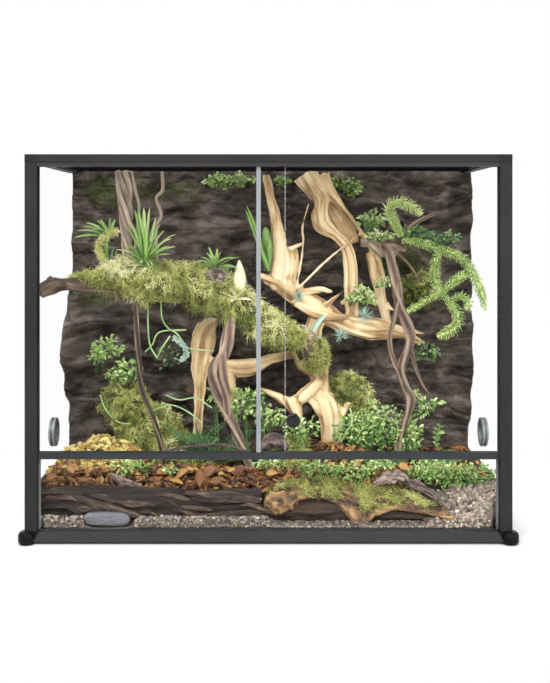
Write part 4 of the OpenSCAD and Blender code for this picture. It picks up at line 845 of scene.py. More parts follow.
# driftwood: every limb of its solid as [points, flatness], fused to one skin and then grooved along the grain
driftLimbs = [
    ([[-6, 85, 774, 9], [6, 85, 709, 12], [20, 80, 648, 16], [25, 80, 600, 19], [22, 80, 550, 19], [12, 80, 512, 18]],
     0.8),
    ([[24, 80, 585, 12], [55, 78, 600, 9], [83, 75, 611, 4]], 0.7),
    ([[40, 82, 600, 14], [46, 82, 572, 25], [44, 82, 545, 25], [36, 80, 508, 20]], 0.4),
    ([[66, 78, 600, 6], [62, 80, 560, 9], [54, 80, 505, 10]], 0.6),
    ([[106, 82, 694, 6], [110, 82, 668, 13], [122, 82, 650, 13], [138, 82, 636, 10]], 0.5),
    ([[46, 74, 490, 6], [84, 68, 500, 9], [118, 66, 504, 8], [150, 66, 498, 3]], 0.7),
    ([[128, 70, 458, 6], [152, 66, 480, 6], [176, 66, 500, 3]], 0.8),
    ([[60, 64, 470, 8], [110, 58, 446, 10], [160, 58, 436, 7], [190, 60, 440, 3]], 0.7),
    ([[-22, 70, 536, 7], [22, 78, 516, 19], [65, 80, 487, 21], [115, 80, 460, 24], [170, 80, 425, 20],
      [235, 75, 402, 17], [310, 75, 398, 14], [360, 75, 378, 6]], 0.8),
    ([[86, 90, 776, 30], [108, 88, 742, 25], [124, 86, 715, 21], [124, 84, 685, 18], [130, 82, 655, 20],
      [162, 82, 627, 13], [184, 82, 601, 14], [193, 82, 560, 17], [194, 80, 494, 17], [200, 78, 410, 16]], 0.7),
    ([[130, 88, 776, 14], [146, 88, 734, 13], [185, 84, 683, 9], [220, 82, 633, 9], [246, 82, 585, 6]], 1),
    ([[142, 104, 716, 14], [172, 104, 662, 27], [204, 104, 608, 16]], 0.25),
    ([[244, 92, 592, 14], [256, 90, 540, 19], [263, 85, 490, 14], [276, 80, 440, 12], [288, 78, 398, 10]], 0.7),
    ([[170, 78, 470, 4], [215, 78, 486, 8], [262, 82, 470, 10], [300, 78, 452, 4]], 0.8),
    ([[148, 70, 452, 3], [196, 70, 436, 8], [250, 68, 428, 12], [310, 66, 410, 10], [366, 64, 400, 3]], 0.7),
    ([[52, 74, 392, 12], [82, 72, 356, 32], [100, 70, 335, 37], [118, 72, 308, 26], [132, 74, 270, 18],
      [140, 66, 205, 22], [144, 62, 165, 21], [140, 60, 104, 22]], 0.85),
    ([[120, 78, 460, 20], [105, 76, 410, 20], [96, 74, 350, 22]], 0.8),
    ([[-24, 66, 272, 5], [18, 62, 255, 10], [52, 60, 238, 13], [86, 62, 258, 15], [122, 66, 292, 13]], 1),
    ([[52, 60, 250, 24], [64, 58, 222, 19], [73, 56, 196, 13], [80, 54, 150, 11], [82, 54, 104, 14]], 0.6),
    ([[122, 68, 262, 16], [138, 64, 236, 27], [146, 62, 204, 27], [148, 60, 160, 24], [144, 60, 104, 22]], 0.6),
    ([[84, 62, 262, 10], [104, 62, 240, 10], [124, 62, 214, 12]], 0.7),
    ([[190, 68, 242, 7], [168, 64, 196, 8], [150, 62, 160, 9]], 1),
    ([[-118, 84, 428, 8], [-134, 85, 418, 20], [-148, 85, 400, 28], [-156, 85, 368, 28], [-162, 85, 320, 22],
      [-164, 85, 270, 14], [-166, 85, 180, 11], [-168, 85, 104, 12]], 0.6),
    ([[-158, 85, 350, 14], [-125, 82, 330, 12], [-95, 80, 322, 20], [-60, 80, 318, 23], [-28, 80, 325, 20],
      [10, 78, 340, 14], [60, 74, 350, 12]], 0.6),
    ([[-92, 80, 318, 16], [-88, 80, 280, 14], [-80, 80, 220, 10], [-78, 80, 104, 12]], 0.7),
    ([[95, 78, 705, 3.2], [80, 72, 650, 2.8], [81, 68, 604, 3.2], [64, 70, 500, 3.6]], 1),
    ([[216, 76, 634, 3.6], [140, 62, 575, 2.8], [64, 70, 500, 3.6]], 1),
]
driftSet = {"voxel": 0.0026, "groove": 0.0042, "knots": 0.005}


def flared(w, s, seed):
    return 0.34 * (cloud(onTube(w, s, 1, 11, seed), 3, seed) - 0.42)


def fuseWood(limbs, voxel, passes):
    rough = merge([limb(table, 14, 8, flat, flared, None, k) for k, (table, flat) in enumerate(limbs)])
    wood, outwards = fuse(rough, voxel, passes)
    flow = grainOf(wood["points"], limbs)
    grain = cloud(flow * [130, 130, 8], 3, 61)
    furrow = np.clip(1 - np.abs(noiseAt(flow * [70, 70, 5], 71) - 0.5) * 7, 0, 1)
    lumps = cloud(wood["points"] * 45, 2, 81)
    push = driftSet["groove"] * ((grain - 0.5) - 0.9 * furrow) + driftSet["knots"] * (lumps - 0.5)
    wood["points"] = wood["points"] + outwards * push[:, None]
    wood["points"][:, 2] = np.minimum(wood["points"][:, 2], roomSet["ceiling"])
    wood["flow"] = flow
    patchy = cloud(wood["points"] * 18, 3, 91)
    # surfaces that face down are darker: painted shade
    under = np.clip(-outwards[:, 2], 0, 1)
    wood["tone"] = np.clip(0.49 + 1.1 * (grain - 0.5) - 0.55 * furrow + 1.0 * (patchy - 0.45) - 0.20 * under, 0, 1)
    return wood, grain


wood, grain = fuseWood(driftLimbs, driftSet["voxel"], 7)
place = wood["points"]
# painted shade: a dark patch where the concave inside of the fork lies in shade, and dark spots for knot holes
forkShadeSet = {"middle": (0.173, 0.10, 0.66), "across": (0.107, 0, 0.062), "along": (-0.062, 0, 0.107),
            "halfWide": 0.026, "halfLong": 0.062, "front": 0.086}
fromMiddle = place - forkShadeSet["middle"]
forkShade = np.abs(fromMiddle @ unit(np.array(forkShadeSet["across"]))) < forkShadeSet["halfWide"]
forkShade = forkShade & (np.abs(fromMiddle @ unit(np.array(forkShadeSet["along"]))) < forkShadeSet["halfLong"])
forkShade = forkShade & (place[:, 1] > forkShadeSet["front"])
wood["tone"] = np.where(forkShade, 0.10 + 0.22 * grain, wood["tone"])
knotHoleShades = [([0.050, 0.060, 0.530], 0.011), ([0.028, 0.058, 0.486], 0.014), ([0.128, 0.05, 0.30], 0.014)]
for hole, size in knotHoleShades:
    far = np.linalg.norm((place - hole) * [1, 0.4, 1.2], axis=1)
    wood["tone"] = wood["tone"] * np.clip(far / size - 0.4, 0.05, 1)
putPiece("driftwood", wood, paleWood, "pale_wood", ("driftwood",))

# weathered chunk that the vines hang from, and the mossy knot below
chunk = [([[218, 84, 612, 8], [240, 82, 612, 14], [270, 78, 608, 15], [300, 76, 606, 14], [322, 76, 594, 7]], 0.8),
         ([[226, 80, 622, 4], [248, 72, 600, 7], [268, 66, 580, 5]], 0.8),
         ([[262, 72, 596, 9], [286, 66, 584, 9], [306, 66, 588, 5]], 1)]
wood, grain = fuseWood(chunk, 0.0024, 4)
putPiece("vineStump", wood, rootSkin, "bark")
knot = [([[68, 40, 402, 12], [84, 34, 388, 30], [100, 34, 362, 36], [112, 40, 336, 26], [118, 48, 320, 10]], 0.9)]
wood, grain = fuseWood(knot, 0.0026, 5)
crest = np.clip((wood["points"][:, 2] - 0.386) / 0.014, 0, 1)
wood["tone"] = np.clip(0.24 + 0.7 * (grain - 0.5) + 0.5 * crest, 0, 1)
putPiece("mossyKnot", wood, knotSkin, "pale_wood")
x, y, z = wood["points"].T
spots = wood["points"][(x > 0.096) & (y < 0.06) & (crest < 0.2) | (z < 0.345) & (y < 0.05)]
spots = spots[dice.integers(0, len(spots), 210)]
knotMoss = mossClumps(spots, unit(spots - [0.098, 0.045, 0.360]), 12, 0.009, tone=0.28 + 0.6
                      * (cloud(spots * 50, 2, 6) - 0.3))
print("scene: wood made")

# mossy branch as it shows: px, upper edge, lower edge, mm behind the posts' front
branchRows = np.array([[70, 277, 285, 168], [85, 273, 287, 178], [98, 269, 289, 188], [108, 262, 291, 196],
                       [118, 257, 295, 202], [130, 257, 300, 207], [142, 259, 305, 210], [155, 262, 304, 213],
                       [168, 263, 300, 216], [180, 264, 302, 219], [192, 264, 309, 222], [205, 265, 315, 225],
                       [218, 267, 317, 228], [230, 273, 321, 232], [240, 281, 329, 236], [252, 292, 339, 241],
                       [262, 302, 346, 246], [275, 311, 350, 252], [288, 320, 350, 262], [300, 329, 348, 272],
                       [311, 337, 344, 280]], float)
branchSet = {"clumps": 680, "deep": 33, "long": 0.0105, "hanging": 1500, "stray": 330, "pixel": 2.235}
# where it hangs lowest: share, px, reach and power
branchSet["windows"] = [(0.35, 126, 8, 2), (0.45, 145, 7, 2), (1, 214, 20, 4), (0.5, 258, 14, 2)]
# its bare end at the left, with a knob on it and a spur under it: px, py, mm behind, radius
endRows = {"bare": [(39.5, 292.5, 92, 12.5), (45, 289, 98, 15), (53, 285.5, 108, 17.5), (60, 284.5, 122, 13.5),
                    (68, 284, 140, 12.5), (80, 284, 160, 12), (95, 285, 180, 12.5), (112, 288, 195, 12),
                    (128, 289, 206, 12), (150, 290, 210, 14)],
           "knob": [(50, 281, 100, 9), (52.5, 277.5, 100, 6)],
           "spur": [(62, 284, 124, 8), (84, 290, 150, 7), (112, 293, 180, 7), (124, 297, 195, 3)]}
bare = limb(seenTable(endRows["bare"]), 26, 14, 1, barkSwell, swellTone(barkSwell), 2)
bump = limb(seenTable(endRows["knob"]), 14, 10, 1, barkSwell, swellTone(barkSwell, 0.6), 3)
spur = limb(seenTable(endRows["spur"]), 14, 12, 1, barkSwell, swellTone(barkSwell, 0.55), 7)
putPiece("branchEnd", merge([bare, bump, spur]), barkSkin, "bark", ("moss_branch",))


# points and outward ways on the skin of the moss: a run along it, an angle round it and a share of its size
def branchSkin(run, w, share):
    px, upper, lower, behind = (np.interp(run, np.linspace(0, 1, len(branchRows)), branchRows[:, k]) for k in range(4))
    centre = spot(px, (upper + lower) / 2, behind)
    half = (lower - upper) / 2 * pixelAt(behind) / 1000
    deep = np.minimum(branchSet["deep"] / 1000, 1.2 * half)
    side = np.stack([0 * run, -np.sin(w), np.cos(w)], -1)
    return centre + side * np.stack([0 * run, deep, half], -1) * np.asarray(share)[..., None], side


run, w = np.meshgrid(np.linspace(0.02, 0.985, 150), circle(40), indexing="ij")
lump = cloud(onTube(w, run, 1.5, 26), 4, 4)
rings, side = branchSkin(run, w, 0.52 + 0.50 * lump)
# the core is darker where its lumps sink in: painted shade in the dips
putPiece("branchCore", outward(loft(rings[None], np.clip(1.6 * lump - 0.42, 0, 1)[None])), mossCore, "moss")
count = branchSet["clumps"]
run, w = dice.random(count) ** 0.92, dice.normal(0.75, 1.25, count)
place, away = branchSkin(run, w, dice.uniform(0.74, 0.98, count))
yellow = 0.34 * ((run > 0.15) & (run < 0.32) & (away[:, 2] > -0.1)) + 0.08 * (run > 0.6)
putPiece("branchMoss", mossClumps(place, away, 14, branchSet["long"], 0.0017, 0.85, 0.25, None, yellow), mossSkin,
         "moss")
count = branchSet["stray"]
run, w = dice.random(count), dice.normal(0.4, 1.2, count)
place, away = branchSkin(run, w, dice.uniform(0.9, 1.05, count))
sheaf = mossClumps(place, away, 9, 0.019, 0.0013, 0.9, 0.45, None, 0.12)

# moss that hangs from the underside, in tufts of uneven length
count = branchSet["hanging"]
run = np.repeat(dice.random(count // 10), 10) + dice.normal(0, 0.004, count)
place, away = branchSkin(np.clip(run, 0.1, 0.97), dice.normal(math.pi - 0.6, 0.5, count),
                         dice.uniform(0.5, 0.95, count))
seenAt = viewSet["column"] + place[:, 0] * 1000 / branchSet["pixel"]
window = sum(share * np.exp(-((seenAt - px) / wide) ** power) for share, px, wide, power in branchSet["windows"])
drop = 0.004 + window * (0.006 + 0.030 * np.clip(3.0 * noiseAt(np.stack([run * 30, 0 * run, 0 * run], -1), 3) - 1.3, 0,
                                                 1))
reach = np.stack([dice.normal(0, 0.009, count), dice.normal(-0.004, 0.006, count),
                  -drop * dice.uniform(0.4, 1.2, count)], -1)
tone = np.clip(0.36 + dice.normal(0, 0.15, count) + 0.8 * (cloud(place * 30, 2, 17) - 0.5), 0, 1)
hanging = ribbons(place, reach, reach * 0.5 + dice.normal(0, 0.005, (count, 3)), 0.0015 * dice.uniform(0.6, 1.4, count),
                  strandShape, 5, 3, 0.8, tone)
putPiece("hangingMoss", merge([hanging, sheaf, knotMoss]), mossSkin, "moss")
print("scene: mossy branch made")

# roots wound loosely round each other, and the thin side roots
rootSet = {"strands": 5, "spread": 15, "turn": 72, "tones": [0.62, 0.35, 0.78, 0.45, 0.7]}
rootParts = [limb([[-326, -40, 775, 11], [-327, -40, 700, 9], [-322, -42, 640, 8], [-312, -42, 540, 7]], 14, 14, 1,
                  barkSwell,
                  swellTone(barkSwell, 0.12), 1)]
for k in range(rootSet["strands"]):
    turn = [math.radians(360 * k / rootSet["strands"] + rootSet["turn"] * j) for j in range(6)]
    table = []
    for j, w in enumerate(turn):
        far = rootSet["spread"] - 1.8 * j
        table.append([-326 + 2.4 * j + far * math.cos(w), -40 + far * math.sin(w), 775 - 46 * j, 6.2 - 0.6 * j])
    rootParts.append(limb(table, 12, 14, 1, barkSwell, swellTone(barkSwell, rootSet["tones"][k], 2.4), k))
for table in ([[-307, -44, 775, 4], [-298, -46, 730, 4], [-290, -46, 690, 3.5], [-300, -42, 600, 3],
               [-300, -42, 540, 3]],
              [[-239, -36, 775, 4], [-238, -38, 734, 4], [-252, -40, 714, 4], [-241, -40, 677, 4],
               [-253, -38, 645, 3.5], [-250, -34, 560, 3]]):
    rootParts.append(limb(table, 8, 12, 1, barkSwell, swellTone(barkSwell, 0.6), 5))
putPiece("rootBundle", merge(rootParts), rootSkin, "bark", ("root_bundle",))


def twisted(w, s, seed):
    return 0.24 * np.sin(3 * w + 40 * s + seed) + 1.1 * barkSwell(w, s, seed)


vineTables = {
    "lianaLeft": [[[-296, -52, 505, 5.2], [-292, -56, 386, 5.2], [-281, -50, 286, 5.6], [-245, -45, 180, 5.2],
                   [-232, -45, 110, 5.5]]],
    "lianaMiddle": [[[-80, -28, 480, 7], [-90, -52, 391, 10], [-118, -60, 336, 13], [-116, -62, 300, 12],
                     [-102, -62, 262, 11], [-66, -70, 182, 9], [-34, -80, 108, 8]],
                    [[-96, -40, 430, 4], [-104, -70, 340, 8], [-92, -70, 268, 8], [-92, -70, 220, 5]]],
    "vineRight": [[[268, 84, 610, 8], [280, 40, 588, 9], [290, 12, 520, 9], [300, 0, 472, 9.5], [323, -6, 400, 10.5],
                   [304, -4, 330, 8.5], [312, -2, 290, 8], [325, 0, 255, 9], [308, -6, 200, 7], [297, -10, 160, 7],
                   [290, -14, 106, 7]],
                  [[296, 30, 560, 3], [300, 2, 500, 4.6], [289, -8, 450, 4.6], [276, -10, 380, 4.6], [309, 0, 282, 4.6],
                   [318, 2, 240, 3]],
                  [[320, 0, 392, 4], [336, 10, 330, 4], [352, 20, 290, 3.4], [372, 30, 262, 2]],
                  [[296, 84, 600, 3.6], [326, 40, 562, 2.8], [345, 24, 535, 1.5]],
                  [[304, 84, 600, 5.5], [330, 56, 650, 5], [386, 44, 682, 3]]],
}
for name, replaced, skin in (("lianaLeft", "liana_left", barkSkin), ("lianaMiddle", "liana_middle", vineSkin),
                             ("vineRight", "vine_right", vineSkin)):
    parts = [limb(table, 20, 16, 1, twisted, swellTone(twisted, 0.42, 1.6), k) for k,
             table in enumerate(vineTables[name])]
    putPiece(name, merge(parts), skin, "bark", (replaced,))
print("scene: roots and vines made")

# moss mounds: a lumpy ellipsoid each, with sheaves of short strands over it
mounds = [([-305, 92, 142], [62, 55, 80]), ([-262, 85, 150], [64, 60, 92]), ([-215, 50, 120], [70, 50, 58]),
          ([186, 92, 262], [58, 42, 46]), ([60, -20, 108], [88, 48, 44]), ([46, 14, 108], [62, 40, 74]),
          ([365, 135, 500], [50, 78, 42]), ([-338, 88, 232], [60, 50, 62]), ([-130, 20, 108], [90, 46, 34]),
          ([228, 92, 226], [26, 30, 50])]
moundSet = {"clumps": 1050, "long": 0.0125, "foot": 0.106}
moundParts, spots, ways = [], [], []
area = [size[0] * size[2] for place, size in mounds]
for k, (centre, size) in enumerate(mounds):
    way = ballWays(0.12, math.pi - 0.12, 30, 48) * [1, 1, -1]
    lump = 0.86 + 0.75 * (cloud(way * 3.2 + k, 4, 33) - 0.5)
    rings = (np.array(centre) + way * np.array(size) * lump[..., None]) / 1000
    rings[..., 2] = np.maximum(rings[..., 2], moundSet["foot"])
    # each mound is darker where its lumps sink in: painted shade in the dips
    moundParts.append(loft(rings[None], np.clip(0.34 + 2.4 * (lump - 0.86), 0, 1)[None]))
    count = int(moundSet["clumps"] * area[k] / sum(area))
    way = unit(dice.normal(0, 1, (count, 3)) + [0, -0.6, 0.3])
    base = (np.array(centre) + way * np.array(size) * (0.86 + 0.72 * (cloud(way * 3.2 + k, 4, 33) - 0.5))[:,
                                                                                                          None]) / 1000
    keep = base[:, 2] > moundSet["foot"] + 0.002
    spots.append(base[keep])
    ways.append(way[keep])
spots, ways = np.vstack(spots), np.vstack(ways)
# strands on top of the mounds are lighter: a painted highlight from above
tone = 0.33 + 0.22 * ways[:, 2] + 1.7 * (cloud(spots * 26, 3, 27) - 0.5) + 0.10 * (spots[:, 0] < -0.2)
stump = limb([[200, 88, 240, 20], [214, 88, 170, 18], [218, 88, 106, 20]], 24, 12, 1, barkSwell, swellTone(barkSwell),
             9)
putPiece("mossMounds", merge(moundParts + [stump]), mossCore, "moss", ("moss_cushions",))
putPiece("moundMoss", mossClumps(spots, ways, 11, moundSet["long"], 0.0023, 0.85, 0.15, tone), mossSkin, "moss")


# leaves in a cloud round a place, turned to the front and up, on stalks from one root
def bush(centre, size, count, leaf, root, tone=0.5, share=0.62, stalks=9, low=0.112):
    size = np.array(size) / 1000
    way = unit(dice.normal(0, 1, (count, 3)))
    place = centre + way * size * dice.random((count, 1)) ** 0.42
    place[:, 2] = np.maximum(place[:, 2], low)
    out = unit(way * [1, 0.5, 0.7] + dice.normal(0, 0.55, (count, 3)) + [0, -0.45, 0.05])
    long = leaf / 1000 * dice.uniform(0.6, 1.2, (count, 1))
    facing = np.array([0, -0.75, 0.65]) + dice.normal(0, 0.35, (count, 3))
    # leaves at the top and front are lighter and those at the back darker: painted light from above and the front
    shade = np.clip(tone + dice.normal(0, 0.16, count) + 0.25 * way[:, 2] - 0.2 * way[:, 1], 0, 1)
    leaves = ribbons(place, long * out, long * (0.5 * out + [0, 0, 0.12]), long[:, 0] * share, leafShape, 4, 4, 0.13,
                     shade, facing, 0.3)
    ends = place[dice.integers(0, count, stalks)]
    base = np.array(root) + dice.normal(0, 0.004, (stalks, 3)) * [1, 1, 0]
    reach = ends - base
    middle = reach * [0.25, 0.25, 0.6]
    return merge([leaves, ribbons(base, reach, middle, 0.0017, strandShape, 8, 3, 1.0, 0.25)])


# blades from one foot to tips seen in the picture: rows of px, py, mm nearer, mm wide and mm of arch
def fan(foot, behind, tips, tone=(0.3, 0.7), profile=bladeShape, cup=0.4):
    tips = np.array(tips, float)
    base = spot(foot[0], foot[1], behind)
    reach = spot(tips[:, 0], tips[:, 1], behind - tips[:, 2]) - base
    middle = reach * [0.42, 0.42, 0.55] + np.stack([0 * tips[:, 4], -0.15 * tips[:, 4], tips[:, 4]], -1) / 1000
    start = np.broadcast_to(base, reach.shape) + dice.normal(0, 0.003, reach.shape)
    return ribbons(start, reach, middle, tips[:, 3] / 1000, profile, 12, 4, 0.12, dice.uniform(*tone, len(tips)), None,
                   cup)


# fountain of blades from one place: they rise, arch over and droop
def tuft(centre, count, long, width, lean=0.9, tone=(0.2, 0.9), droop=0.6, front=1.0):
    w = dice.uniform(0, 2 * math.pi, count)
    out = dice.uniform(0.1, 1.0, count) ** 0.8 * lean
    away = np.stack([np.cos(w) * out, np.sin(w) * out * 0.6 - 0.15 * front, np.sqrt(np.maximum(0.05, 1.1 - out ** 2))],
                    -1)
    size = (long * dice.uniform(0.55, 1.1, count))[:, None]
    reach = size * (away * [1, 1, 1 - 0.2 * droop]) - np.array([0, 0, droop]) * size * out[:, None] ** 2
    return ribbons(np.broadcast_to(centre, (count, 3)) + dice.normal(0, 0.003, (count, 3)), reach,
                   size * away * np.array([0.42, 0.42, 0.62]),
                   width * dice.uniform(0.7, 1.2, count), bladeShape, 10, 4, 0.12, dice.uniform(*tone, count), cup=0.35)


mainTips = [(139, 207, 10, 12, 4), (144, 209, 4, 12, 2), (133, 210, -4, 11, 4), (129, 219, 12, 9, 6),
            (123, 223, 16, 8, 12), (154, 218, 12, 9, 6), (161, 225, 20, 9, 8), (163, 231, 24, 8, 10),
            (174, 234, 26, 8, 16), (171, 240, 34, 9, 14), (177, 245, 36, 9, 16), (174, 252, 40, 9, 14),
            (166, 254, 44, 8, 12), (148, 214, -10, 10, 2), (158, 233, 30, 8, 10), (152, 226, 30, 10, 6),
            (138, 222, 30, 9, 4), (145, 224, 34, 11, 2), (132, 236, 34, 8, 8), (124, 246, 40, 8, 10),
            (118, 252, 36, 7, 12), (168, 246, 20, 8, 12), (150, 208, -16, 8, 4), (160, 250, 50, 8, 10),
            (136, 214, 24, 9, 2)]
secondTips = [(209, 248, 6, 8, 4), (222, 250, 10, 7, 6), (236, 259, 20, 7, 16), (241, 253, 16, 6, 10),
              (235, 264, 30, 7, 10), (196, 264, 20, 6, 14), (205, 252, 10, 7, 6), (229, 256, 24, 7, 8),
              (216, 246, 0, 8, 2), (213, 254, 20, 9, 2), (243, 268, 24, 6, 12), (200, 258, 16, 6, 8),
              (225, 262, 30, 7, 6)]
tuftParts = [fan((145, 263), 196, mainTips, (0.30, 0.95)), fan((215, 268), 214, secondTips, (0.35, 0.85)),
             tuft(spot(143, 266, 196), 52, 0.060, 0.0065, 1.0, (0.15, 0.85)),
             tuft(spot(216, 270, 214), 30, 0.034, 0.004),
             tuft([-0.285, -0.112, 0.112], 30, 0.055, 0.0045, 1.0, (0.4, 0.9)),
             tuft([-0.262, -0.118, 0.112], 16, 0.050, 0.006, 1.1, (0.15, 0.4)),
             tuft(spot(226, 272, 226), 16, 0.024, 0.003, 1.2, (0.5, 0.9))]
putPiece("grassTufts", merge(tuftParts), leafSkin, "foliage", ("grass_tufts",))

# strap plants: at the left end of the branch, behind the seal, and a hanging arch of yellow moss
leftTips = [(77, 229, 30, 10, 12), (77, 237, 34, 10, 10), (86, 222, 12, 10, 10), (95, 221, 4, 9, 8),
            (101, 222, 0, 9, 6), (113, 221, -4, 8, 4), (117, 226, 6, 8, 6), (82, 226, 22, 8, 12), (91, 230, 36, 9, 8),
            (108, 219, -8, 7, 4)]
sealTips = [(247, 211, 6, 15, -6), (257, 240, 10, 11, 2), (247, 205, 0, 10, 6)]
wideTips = [(266, 227, 4, 22, 1), (270, 236, 10, 14, -2)]
strapParts = [fan((108, 236), 204, leftTips, (0.25, 0.6)), fan((269, 271), 306, sealTips, (0.35, 0.6)),
              fan((270, 268), 310, wideTips, (0.3, 0.5), spoonShape),
              fan((108, 262), 196, [(108, 238, 10, 9, 10), (104, 246, 14, 8, 6), (112, 246, 18, 8, 4)], (0.2, 0.4))]
putPiece("strapLeaves", merge(strapParts), leafSkin, "foliage", ("strap_leaves",))
arch = seenTable([(117, 232, 196, 0), (110, 233, 190, 0), (103, 238, 186, 0), (98, 247, 184, 0), (102, 256, 184, 0),
                  (105, 265, 188, 0), (108, 275, 194, 0)])
archPath = curveThrough(arch, 12)[:, :3] / 1000
count = 130
spots = archPath[dice.integers(0, len(archPath), count)] + dice.normal(0, 0.0014, (count, 3))
archMoss = mossClumps(spots, unit(dice.normal(0, 1, (count, 3)) + [-0.4, -0.4, 0]), 8, 0.0105, 0.0016, 0.9, 0.2,
                      0.35 + 0.6 * dice.random(count))
purple = limb(seenTable([(207, 277, 200, 10), (216, 274, 198, 14), (224, 279, 200, 10)]), 30, 26, 0.9, tufted,
              swellTone(tufted, 0.45, 1.6), 4)
putPiece("archMoss", archMoss, mossSkin, "moss")
putPiece("purpleMoss", purple, purpleSkin, "moss")
pale = [fan((241, 293), 212, [(240, 259, 6, 27, -8)], (0.9, 1.0), leafShape),
        fan((236, 299), 214, [(228, 289, 14, 16, 6), (246, 291, 18, 14, 6), (251, 300, 22, 12, 4),
                              (232, 303, 30, 14, 4)],
            (0.7, 0.95), leafShape),
        fan((222, 292), 205, [(241, 300, 20, 4, 4)], (0.9, 1.0))]
putPiece("paleLeaves", merge(pale), paleLeafSkin, "foliage")
print("scene: moss and grass made")

# tassel fern: stems thick with curved leaflets, seen px, py, mm behind the posts' front, mm wide
tasselRows = [
    [[401, 236, 288, 7], [396, 226, 276, 10], [391, 215, 264, 12], [390, 207, 256, 13], [396, 202, 250, 13],
     [404, 203, 247, 12], [412, 207, 245, 11], [418, 211, 244, 9], [421, 214, 243, 5]],
    [[402, 240, 290, 6], [420, 243, 276, 10], [440, 250, 262, 11], [458, 256, 250, 11], [470, 268, 238, 11],
     [478, 284, 224, 11], [484, 300, 210, 10], [487, 311, 204, 5]],
    [[440, 250, 262, 7], [435, 264, 254, 11], [435, 280, 244, 11], [441, 293, 240, 8]],
    [[441, 293, 240, 6], [450, 285, 236, 9], [462, 276, 236, 10], [473, 272, 236, 8]],
    [[441, 293, 240, 5], [427, 300, 246, 7], [414, 308, 252, 7], [404, 313, 256, 5]],
    [[441, 293, 240, 6], [450, 303, 234, 10], [457, 314, 228, 12], [456, 326, 224, 12], [447, 333, 220, 11],
     [437, 337, 218, 5]],
    [[452, 300, 234, 5], [461, 296, 226, 9], [469, 302, 220, 9], [466, 310, 216, 7]],
]
tasselSet = {"whorl": 10, "spacing": 0.0056, "stem": 0.34}
tasselParts = []
for k, table in enumerate(tasselRows):
    table = np.array(seenTable(table))
    tasselParts.append(limb(table * [1, 1, 1, tasselSet["stem"]], 8, 8, 1, None, None, k))
    path, ahead, across, run = routeOf(table, 60)
    rows = np.interp(np.arange(0, run[-1], tasselSet["spacing"]), run, np.arange(len(path))).astype(int)
    rows = np.repeat(rows, tasselSet["whorl"])
    w = np.tile(circle(tasselSet["whorl"]), len(rows) // tasselSet["whorl"]) + rows * 0.9
    ahead, across = ahead[rows], across[rows]
    away = np.cos(w)[:, None] * across + np.sin(w)[:, None] * np.cross(ahead, across)
    size = path[rows, 3:4] * dice.uniform(1.0, 1.35, (len(rows), 1))
    base = path[rows, :3] + away * size * 0.14
    reach = size * (away + 0.55 * ahead + dice.normal(0, 0.10, away.shape))
    middle = size * (away * 0.66 + 0.05 * ahead)
    shade = np.clip(dice.uniform(-0.05, 0.75, len(rows)) + (0.40 if k == 0 else 0.0) + 0.2 * (rows / len(path)) ** 3, 0,
                    1)
    tasselParts.append(ribbons(base, reach, middle, 0.0044, bladeShape, 5, 4, 0.3, shade, away * 0.3 - ahead))
putPiece("tasselFern", merge(tasselParts), tasselSkin, "foliage", ("tassel_fern",))


# a frond: a bowed rib with leaflets in pairs that shorten to the tip
def frond(base, reach, rise, pairs, leaflet, tone):
    s = np.repeat(np.linspace(0.12, 0.98, pairs), 2)
    middle = reach * 0.5 + np.array([0, 0, rise])
    place = base + 2 * s[:, None] * (1 - s[:, None]) * middle + s[:, None] ** 2 * reach
    ahead = unit((2 - 4 * s[:, None]) * middle + 2 * s[:, None] * reach)
    side = unit(np.cross(ahead, [0.1, -0.5, 0.85])) * np.tile([1, -1], pairs)[:, None]
    size = (leaflet * np.sin(math.pi * (0.12 + 0.86 * s)) ** 0.7)[:, None]
    leaves = ribbons(place, size * (side + 0.35 * ahead + [0, 0, -0.15]), size * (0.5 * side + 0.1 * ahead),
                     leaflet * 0.30, leafShape, 4, 4, 0.15, tone + 0.12 * dice.random(len(s)))
    rib = ribbons(base, reach, middle, 0.0022, strandShape, 10, 3, 1.0, tone)
    return merge([leaves, rib])


def fernAt(place, reach, rise, count, leaflet, tone=0.3, pairs=13, turn=0.35):
    parts = []
    for k in range(count):
        w = 2 * math.pi * k / count + turn
        far = reach * dice.uniform(0.75, 1.1)
        tip = [far * math.cos(w), 0.55 * far * math.sin(w), rise * (0.55 + 0.35 * math.sin(2 * w + 0.5))]
        parts.append(frond(np.array(place) / 1000, np.array(tip) / 1000, rise * 0.32 / 1000, pairs, leaflet,
                           tone * dice.uniform(0.6, 1.4)))
    return merge(parts)


grassFern = tuft([-0.150, 0.010, 0.112], 70, 0.105, 0.0042, 1.25, (0.15, 0.75), 0.5)
ferns = merge([fernAt([-118, -8, 110], 92, 84, 11, 0.017), fernAt([-30, -14, 110], 56, 70, 9, 0.014),
               fernAt([-172, 20, 110], 80, 100, 10, 0.012),
               fernAt([376, -40, 110], 56, 42, 9, 0.012, 0.45), fernAt([250, -60, 110], 60, 48, 9, 0.013, 0.4),
               grassFern])
putPiece("fernClumps", ferns, darkLeafSkin, "foliage", ("fern_clumps",))


